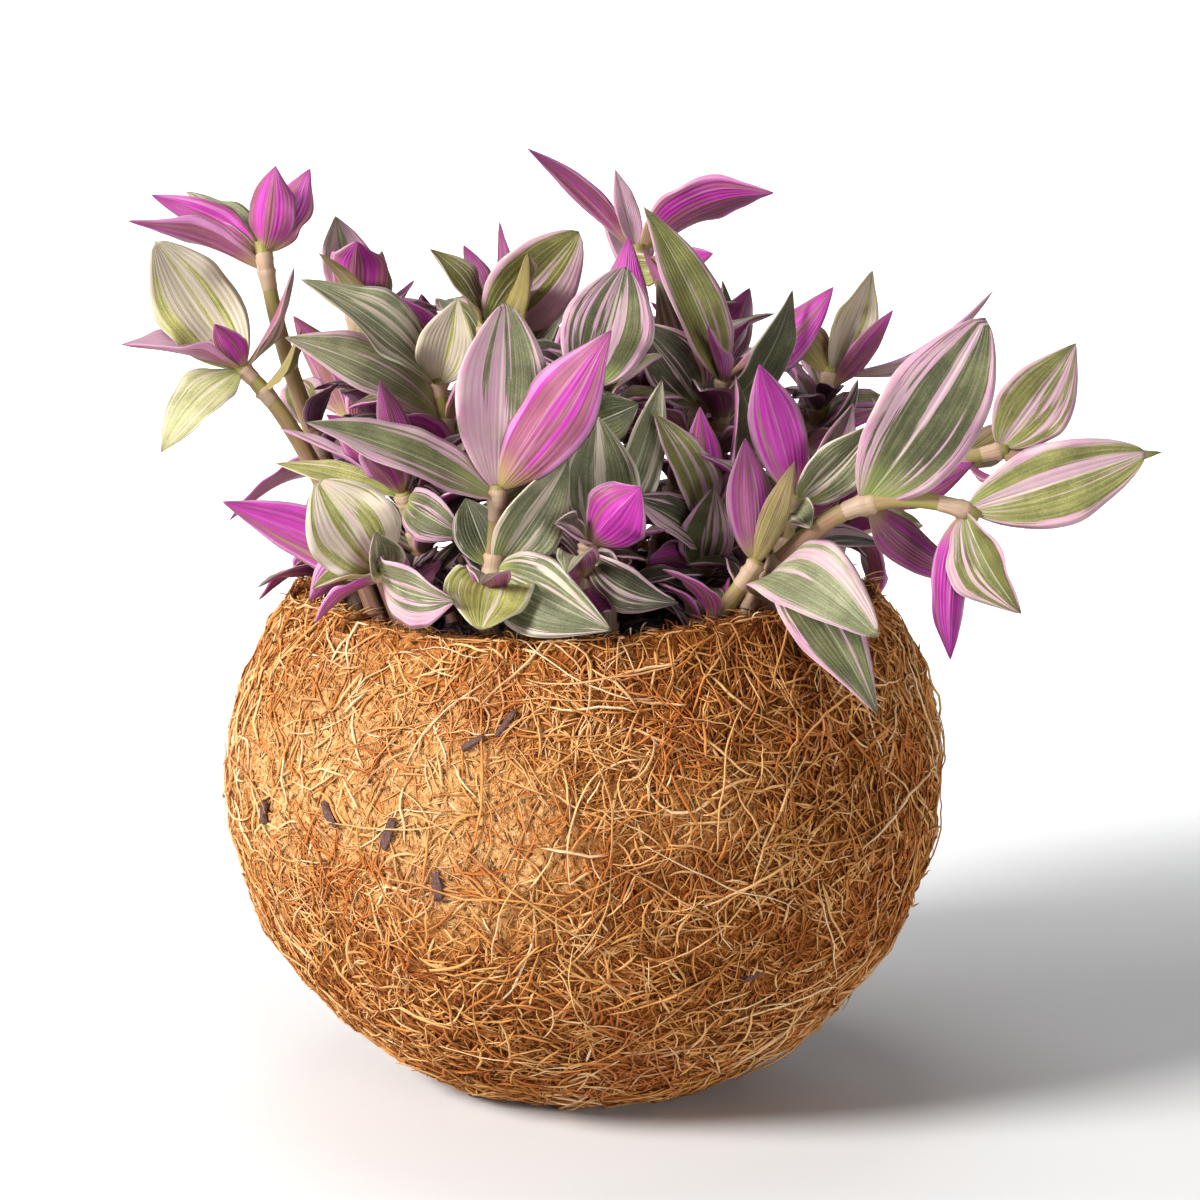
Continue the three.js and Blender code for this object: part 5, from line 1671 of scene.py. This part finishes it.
# %% The pale floor
def floor_finish():
    """Pale paper that fades out at the sides and in front, so that no edge shows from any side."""
    finish = Finish("pale_floor", Roughness=0.8)
    cloud = finish.grain(finish.place(0.002), 1, 2, 0.5)
    paper = finish.paint(Base_Color=finish.mix(cloud, "#e4e5e6", "#e8e9ea"))
    x, y, _ = finish.parts(finish.place())
    far = abs(x).rise(700, 1400).larger((y * -1).rise(600, 1300))
    solid = Value(finish, finish.shader.outputs[0])
    clear = finish.node("ShaderNodeBsdfTransparent")
    faded = finish.node("ShaderNodeMixShader", inputs={0: far, 1: solid, 2: clear})
    finish.feed(finish.tree.nodes["Material Output"].inputs["Surface"], faded)
    return paper


# In metres: half the width, from the front to the back, and where the floor starts to curve up.
HALF_FLOOR, FLOOR_REACH, CURVE_START = 1.6, (-1.5, 3.5), 2.2


def build_floor():
    made = bmesh.new()
    bmesh.ops.create_grid(made, x_segments=1, y_segments=60, size=1)
    for vert in made.verts:
        vert.co.x *= HALF_FLOOR
        vert.co.y = mix(*FLOOR_REACH, (vert.co.y + 1) / 2)
        vert.co.z = max(0, vert.co.y - CURVE_START) ** 2 * 1.6
    floor = smooth_object("floor", mesh_of(made, "floor"), floor_finish())


build_floor()


# %% Soft studio light
def area_light(name, place, target, size, watts, tint=(1, 1, 1)):
    data = bpy.data.lights.new(name, "AREA")
    data.shape, data.size, data.energy, data.color = "DISK", size, watts, tint
    lamp = bpy.data.objects.new(name, data)
    lamp.location = place
    aim = Vector(target) - Vector(place)
    lamp.rotation_mode = "QUATERNION"
    lamp.rotation_quaternion = aim.to_track_quat("-Z", "Y")
    bpy.context.scene.collection.objects.link(lamp)


area_light("key", (-1.05, -0.66, 0.76), (0, 0, 0.1), 0.52, 35, (1, 0.985, 0.965))
area_light("fill", (0.8, -1.35, 0.22), (0, 0, 0.11), 0.9, 12.5, (0.98, 0.99, 1))
area_light("top", (-0.1, 0.35, 1.25), (0, 0, 0.12), 0.7, 4.5)
area_light("backdrop", (0, 0.9, 1.6), (0, 3.2, 0.4), 1.5, 120)


def pale_world(light, seen):
    """A white world that gives a little light, and is seen brighter than it shines."""
    world = bpy.data.worlds.new("pale_studio")
    bpy.context.scene.world = world
    world.use_nodes = True
    nodes, links = world.node_tree.nodes, world.node_tree.links
    back, rays = nodes["Background"], nodes.new("ShaderNodeLightPath")
    sum_up = nodes.new("ShaderNodeMath")
    sum_up.operation = "MULTIPLY_ADD"
    sum_up.inputs[1].default_value = seen - light
    sum_up.inputs[2].default_value = light
    links.new(rays.outputs["Is Camera Ray"], sum_up.inputs[0])
    links.new(sum_up.outputs[0], back.inputs["Strength"])
    back.inputs["Color"].default_value = (1, 1, 1, 1)


pale_world(light=0.08, seen=1.0)
bpy.context.scene.view_settings.view_transform = "Standard"
print("four lamps and a pale world")

# %% The camera at the photo's angle
lens = bpy.data.cameras.new("photo_camera")
lens.lens, lens.sensor_width = 106.7, 36
camera = bpy.data.objects.new("photo_camera", lens)
camera.location = (0.0036, -0.7878, 0.2479)
camera.rotation_euler = (math.radians(80), 0, 0)
bpy.context.scene.collection.objects.link(camera)
bpy.context.scene.camera = camera
print("camera at", [round(x, 3) for x in camera.location])

# %% Update the view layer
bpy.context.view_layer.update()
